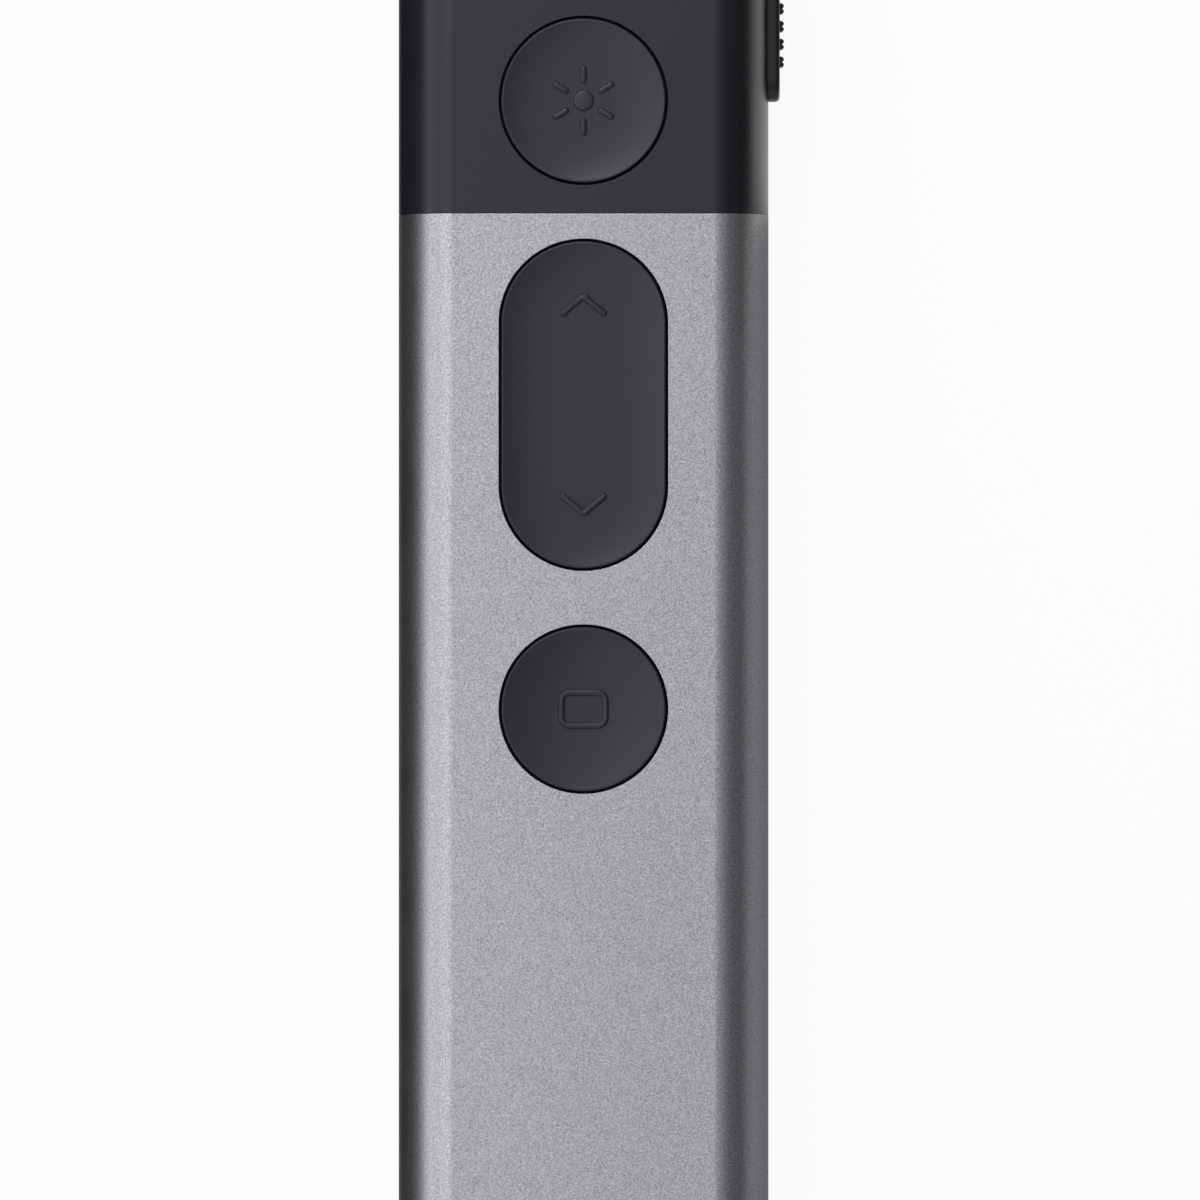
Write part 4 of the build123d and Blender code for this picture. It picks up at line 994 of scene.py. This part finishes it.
def make_screw(length):
    """A countersunk screw with its head down at z = 0 and its tip up, round the Z axis."""
    nothing_selected()
    bpy.ops.mesh.primitive_cylinder_add(
        vertices=48, radius=screw_head, depth=length, location=(0, 0, length / 2)
    )
    screw = settle(bpy.context.object, "screw")
    choose(screw, "FACE", lambda face: face.normal.z > 0.9)
    bpy.ops.transform.translate(value=(0, 0, screw_rim - length))
    bpy.ops.mesh.extrude_region_move(TRANSFORM_OT_translate={"value": (0, 0, screw_head - screw_core)})
    share = screw_core / screw_head
    bpy.ops.transform.resize(value=(share, share, 1), center_override=(0, 0, 0))
    shank = length - screw_rim - screw_head + screw_core
    bpy.ops.mesh.extrude_region_move(TRANSFORM_OT_translate={"value": (0, 0, shank)})
    nothing_selected()
    recess = block((-cross_reach, -cross_half, -mm), (cross_reach, cross_half, cross_depth))
    arm = block((-cross_half, -cross_reach, -mm), (cross_half, cross_reach, cross_depth))
    join(recess, arm)
    choose(recess, "FACE", lambda face: face.normal.z > 0.9)
    bpy.ops.transform.resize(value=(0.6, 0.6, 1), center_override=(0, 0, 0))
    nothing_selected()
    cut(screw, recess)
    return screw


# %% [markdown]
# ### The four screws
# Two screws hold the head and two the tail cap. Each stops at its own angle, as real ones do.

# %% The four screws
head_twist, tail_twist = 0.5, 0.4
for node, axis, x, spot, turn in (
    ("head_screws", 2, head_screw_x, (head_screw_y, span("head_screws")[0].z), 0),
    ("tail_cap_screws", 1, tail_screw_x, (span("tail_cap_screws")[0].y, mid_z), math.pi / 2),
):
    low, high = span(node)
    length = high[axis] - low[axis]
    print(node, "mm:", in_mm([length]))
    first = make_screw(length)
    for side, name in ((-1, "left"), (1, "right")):
        screw = first.copy()
        screw.data = first.data.copy()
        bpy.context.collection.objects.link(screw)
        only(screw)
        screw.location = (side * x, *spot)
        screw.rotation_euler = (-turn, side * tail_twist, 0) if turn else (0, 0, side * head_twist)
        hand_over(screw, f"{node[:-1]}_{name}", "casing", node, "black_screw_steel")
    bpy.data.objects.remove(first)

# %% [markdown]
# ## The studio
# The clicker lies on a white table, under an arc of long soft lights that runs from the left over the top
# to the right. The lights on the left are the stronger ones, so the left flank is the brightest and the
# light falls off across the front.
#
# ### The table
# A lit table is never evenly white. Most of this white is therefore fixed: the camera, mirrors and glass
# see it whatever the lamps do. The rest is the table as the lamps light it, which leaves a faint shadow.
# From below the table is clear, so that the back can be looked at.

# %% A white that the camera sees
def worked_out(nodes, links, operation, *values):
    """The result of a Math node, from numbers and from outputs of other nodes."""
    step = nodes.new("ShaderNodeMath")
    step.operation = operation
    for place, value in enumerate(values):
        if isinstance(value, float):
            step.inputs[place].default_value = value
        else:
            links.new(value, step.inputs[place])
    return step.outputs["Value"]


def rays_of(nodes, links, kinds):
    """1 for a ray of one of these kinds, and else 0."""
    rays = nodes.new("ShaderNodeLightPath")
    total, *others = [rays.outputs[f"Is {kind} Ray"] for kind in kinds]
    for value in others:
        total = worked_out(nodes, links, "MAXIMUM", total, value)
    return total


def mixed(nodes, links, share, first, second):
    """The first shader where the share is 0 and the second where it is 1."""
    mix = nodes.new("ShaderNodeMixShader")
    links.new(share, mix.inputs["Fac"])
    links.new(first, mix.inputs[1])
    links.new(second, mix.inputs[2])
    return mix.outputs["Shader"]


def seen_as_white(nodes, links, shade, share):
    """Lets camera, mirror and glass rays see plain white, mixed with what the lights really do."""
    seen = rays_of(nodes, links, ("Camera", "Glossy", "Transmission"))
    white = nodes.new("ShaderNodeEmission")
    put(white, {"Color": (1, 1, 1, 1), "Strength": 1.0})
    part = worked_out(nodes, links, "MULTIPLY", seen, share)
    return mixed(nodes, links, part, shade, white.outputs["Emission"])


def matt(name, colour):
    """A finish without any gloss."""
    nodes, links, shader = finish(name, colour, 0.9)
    put(shader, {"Specular IOR Level": 0.0})
    return nodes, links, shader


# %% The table
table_size, table_drop, white_share = 3, 0.1 * mm, 0.93
nothing_selected()
bpy.ops.mesh.primitive_plane_add(size=table_size, location=(0, 0, -table_drop))
table = bpy.context.object
table.name = "table"
nodes, links, shader = matt("white_table", (0.95, 0.95, 0.95))
top = seen_as_white(nodes, links, shader.outputs["BSDF"], white_share)
below = nodes.new("ShaderNodeNewGeometry").outputs["Backfacing"]
nothing = nodes.new("ShaderNodeBsdfTransparent").outputs["BSDF"]
links.new(mixed(nodes, links, below, top, nothing), nodes["Material Output"].inputs["Surface"])
finishes["white_table"].cycles.emission_sampling = "NONE"
table.data.materials.append(finishes["white_table"])
print("table, m:", table.dimensions.x)

# %% [markdown]
# ### Cards
# The lower half of each flank mirrors what lies beside the clicker. Cards lie there, as in a studio, to
# draw the edges of a pale object on white: black ones make the flank dark, and grey ones less so. Only
# mirror rays see these cards, so they throw no shadow and don't cover the table.

# %% The cards
card_black = (0.01, 0.01, 0.01)
matt("black_card", card_black)
nodes, links, shader = matt("grey_card", card_black)
put(shader, {"Emission Color": (0.39, 0.385, 0.41, 1), "Emission Strength": 1.0})
finishes["grey_card"].cycles.emission_sampling = "NONE"
card_end, table_edge, card_height = 0.5, table_size / 2, 0.0002
for name, near, far, low_y, high_y, card_finish in (
    ("left_card", -0.015, -0.070, -card_end, seam_y, "black_card"),
    ("left_far_card", -0.070, -0.300, -card_end, seam_y, "grey_card"),
    ("left_head_card", -0.015, -0.300, seam_y, card_end, "black_card"),
    ("left_last_card", -0.300, -table_edge, -card_end, card_end, "black_card"),
    ("right_card", 0.0132, 0.070, -card_end, seam_y, "grey_card"),
    ("right_far_card", 0.070, table_edge, -card_end, seam_y, "black_card"),
    ("right_head_card", 0.033, table_edge, seam_y, card_end, "black_card"),
):
    nothing_selected()
    centre = ((near + far) / 2, (low_y + high_y) / 2, card_height)
    bpy.ops.mesh.primitive_plane_add(size=1, location=centre)
    card = bpy.context.object
    card.scale = (abs(far - near), high_y - low_y, 1)
    settle(card, name)
    card.data.materials.append(finishes[card_finish])
    card.visible_camera = False
    card.visible_diffuse = False
    card.visible_shadow = False
    card.visible_transmission = False
    print(name, "m:", tuple(round(side, 3) for side in card.dimensions))


# %% [markdown]
# ### Lights
# Twelve strips stand in an arc, 15 degrees apart. Each is as wide as its share of the arc, so together they
# act as one bent soft box, but each can have its own power. Two more lift the front and the tip.

# %% The lights
def soft_light(name, angle, distance, width, length, y, power):
    """A long soft light beside the clicker, at an angle from straight above; left is positive."""
    turn = math.radians(angle)
    bpy.ops.object.light_add(
        type="AREA",
        location=(-distance * math.sin(turn), y, mid_z + distance * math.cos(turn)),
        rotation=(0, -turn, 0),
    )
    light = bpy.context.object
    light.name = name
    light.data.shape = "RECTANGLE"
    light.data.size = width
    light.data.size_y = length
    light.data.energy = power
    light.data.color = (0.985, 0.970, 1.045)
    light.visible_camera = False


arc_powers = {90: 0.33, 75: 0.24, 60: 0.195, 45: 0.172, 30: 0.156, 15: 0.170,
              0: 0.128, -15: 0.070, -30: 0.064, -45: 0.030, -60: 0.010, -75: 0.025}
for angle, power in arc_powers.items():
    name = f"arc_light_{angle % 360}"
    soft_light(name, angle, distance=0.40, width=0.105, length=0.6, y=0.12, power=power)
soft_light("front_light", 24, distance=0.15, width=0.120, length=0.6, y=0.01, power=0.094)
soft_light("tip_light", 12, distance=0.15, width=0.055, length=0.09, y=0.18, power=0.136)

# %% [markdown]
# ### The room
# The room's end walls are pale and its side walls are dark, so that the flanks keep their dark lines and
# the metal is still bright when it is looked at along its length. The brightness grows towards the ends
# with a power of how far a direction points along the body. The camera and glass see plain white all round.

# %% The room
room = bpy.data.worlds.new("room")
bpy.context.scene.world = room
room.use_nodes = True
nodes, links = room.node_tree.nodes, room.node_tree.links
direction = nodes.new("ShaderNodeSeparateXYZ")
links.new(nodes.new("ShaderNodeTexCoord").outputs["Generated"], direction.inputs["Vector"])
fall_off, end_glow, side_glow = 4.0, 1.0, 0.05
strength = worked_out(nodes, links, "ABSOLUTE", direction.outputs["Y"])
strength = worked_out(nodes, links, "POWER", strength, fall_off)
strength = worked_out(nodes, links, "MULTIPLY_ADD", strength, end_glow, side_glow)
walls = nodes["Background"]
put(walls, {"Color": (1, 1, 1, 1)})
links.new(strength, walls.inputs["Strength"])
plain = nodes.new("ShaderNodeBackground")
put(plain, {"Color": (1, 1, 1, 1), "Strength": 1.0})
seen = rays_of(nodes, links, ("Camera", "Transmission"))
links.new(mixed(nodes, links, seen, walls.outputs["Background"], plain.outputs["Background"]),
          nodes["World Output"].inputs["Surface"])
print("room:", room.name)

# %% [markdown]
# ## The camera
# The camera looks straight down on the front from 1.35 m, through a long lens, so the flanks hardly spread.

# %% The camera
camera_x, camera_y, camera_distance = 0.001155, 0.013665, 1.35
seen_width, film_width = 0.08397, 36
bpy.ops.object.camera_add(location=(camera_x, camera_y, body_height + camera_distance))
camera = bpy.context.object
camera.name = "camera"
camera.data.sensor_width = film_width
camera.data.lens = film_width * camera_distance / seen_width
camera.data.clip_start = 0.01
bpy.context.scene.camera = camera
bpy.context.scene.view_settings.view_transform = "Standard"
print("lens, mm:", round(camera.data.lens, 1))
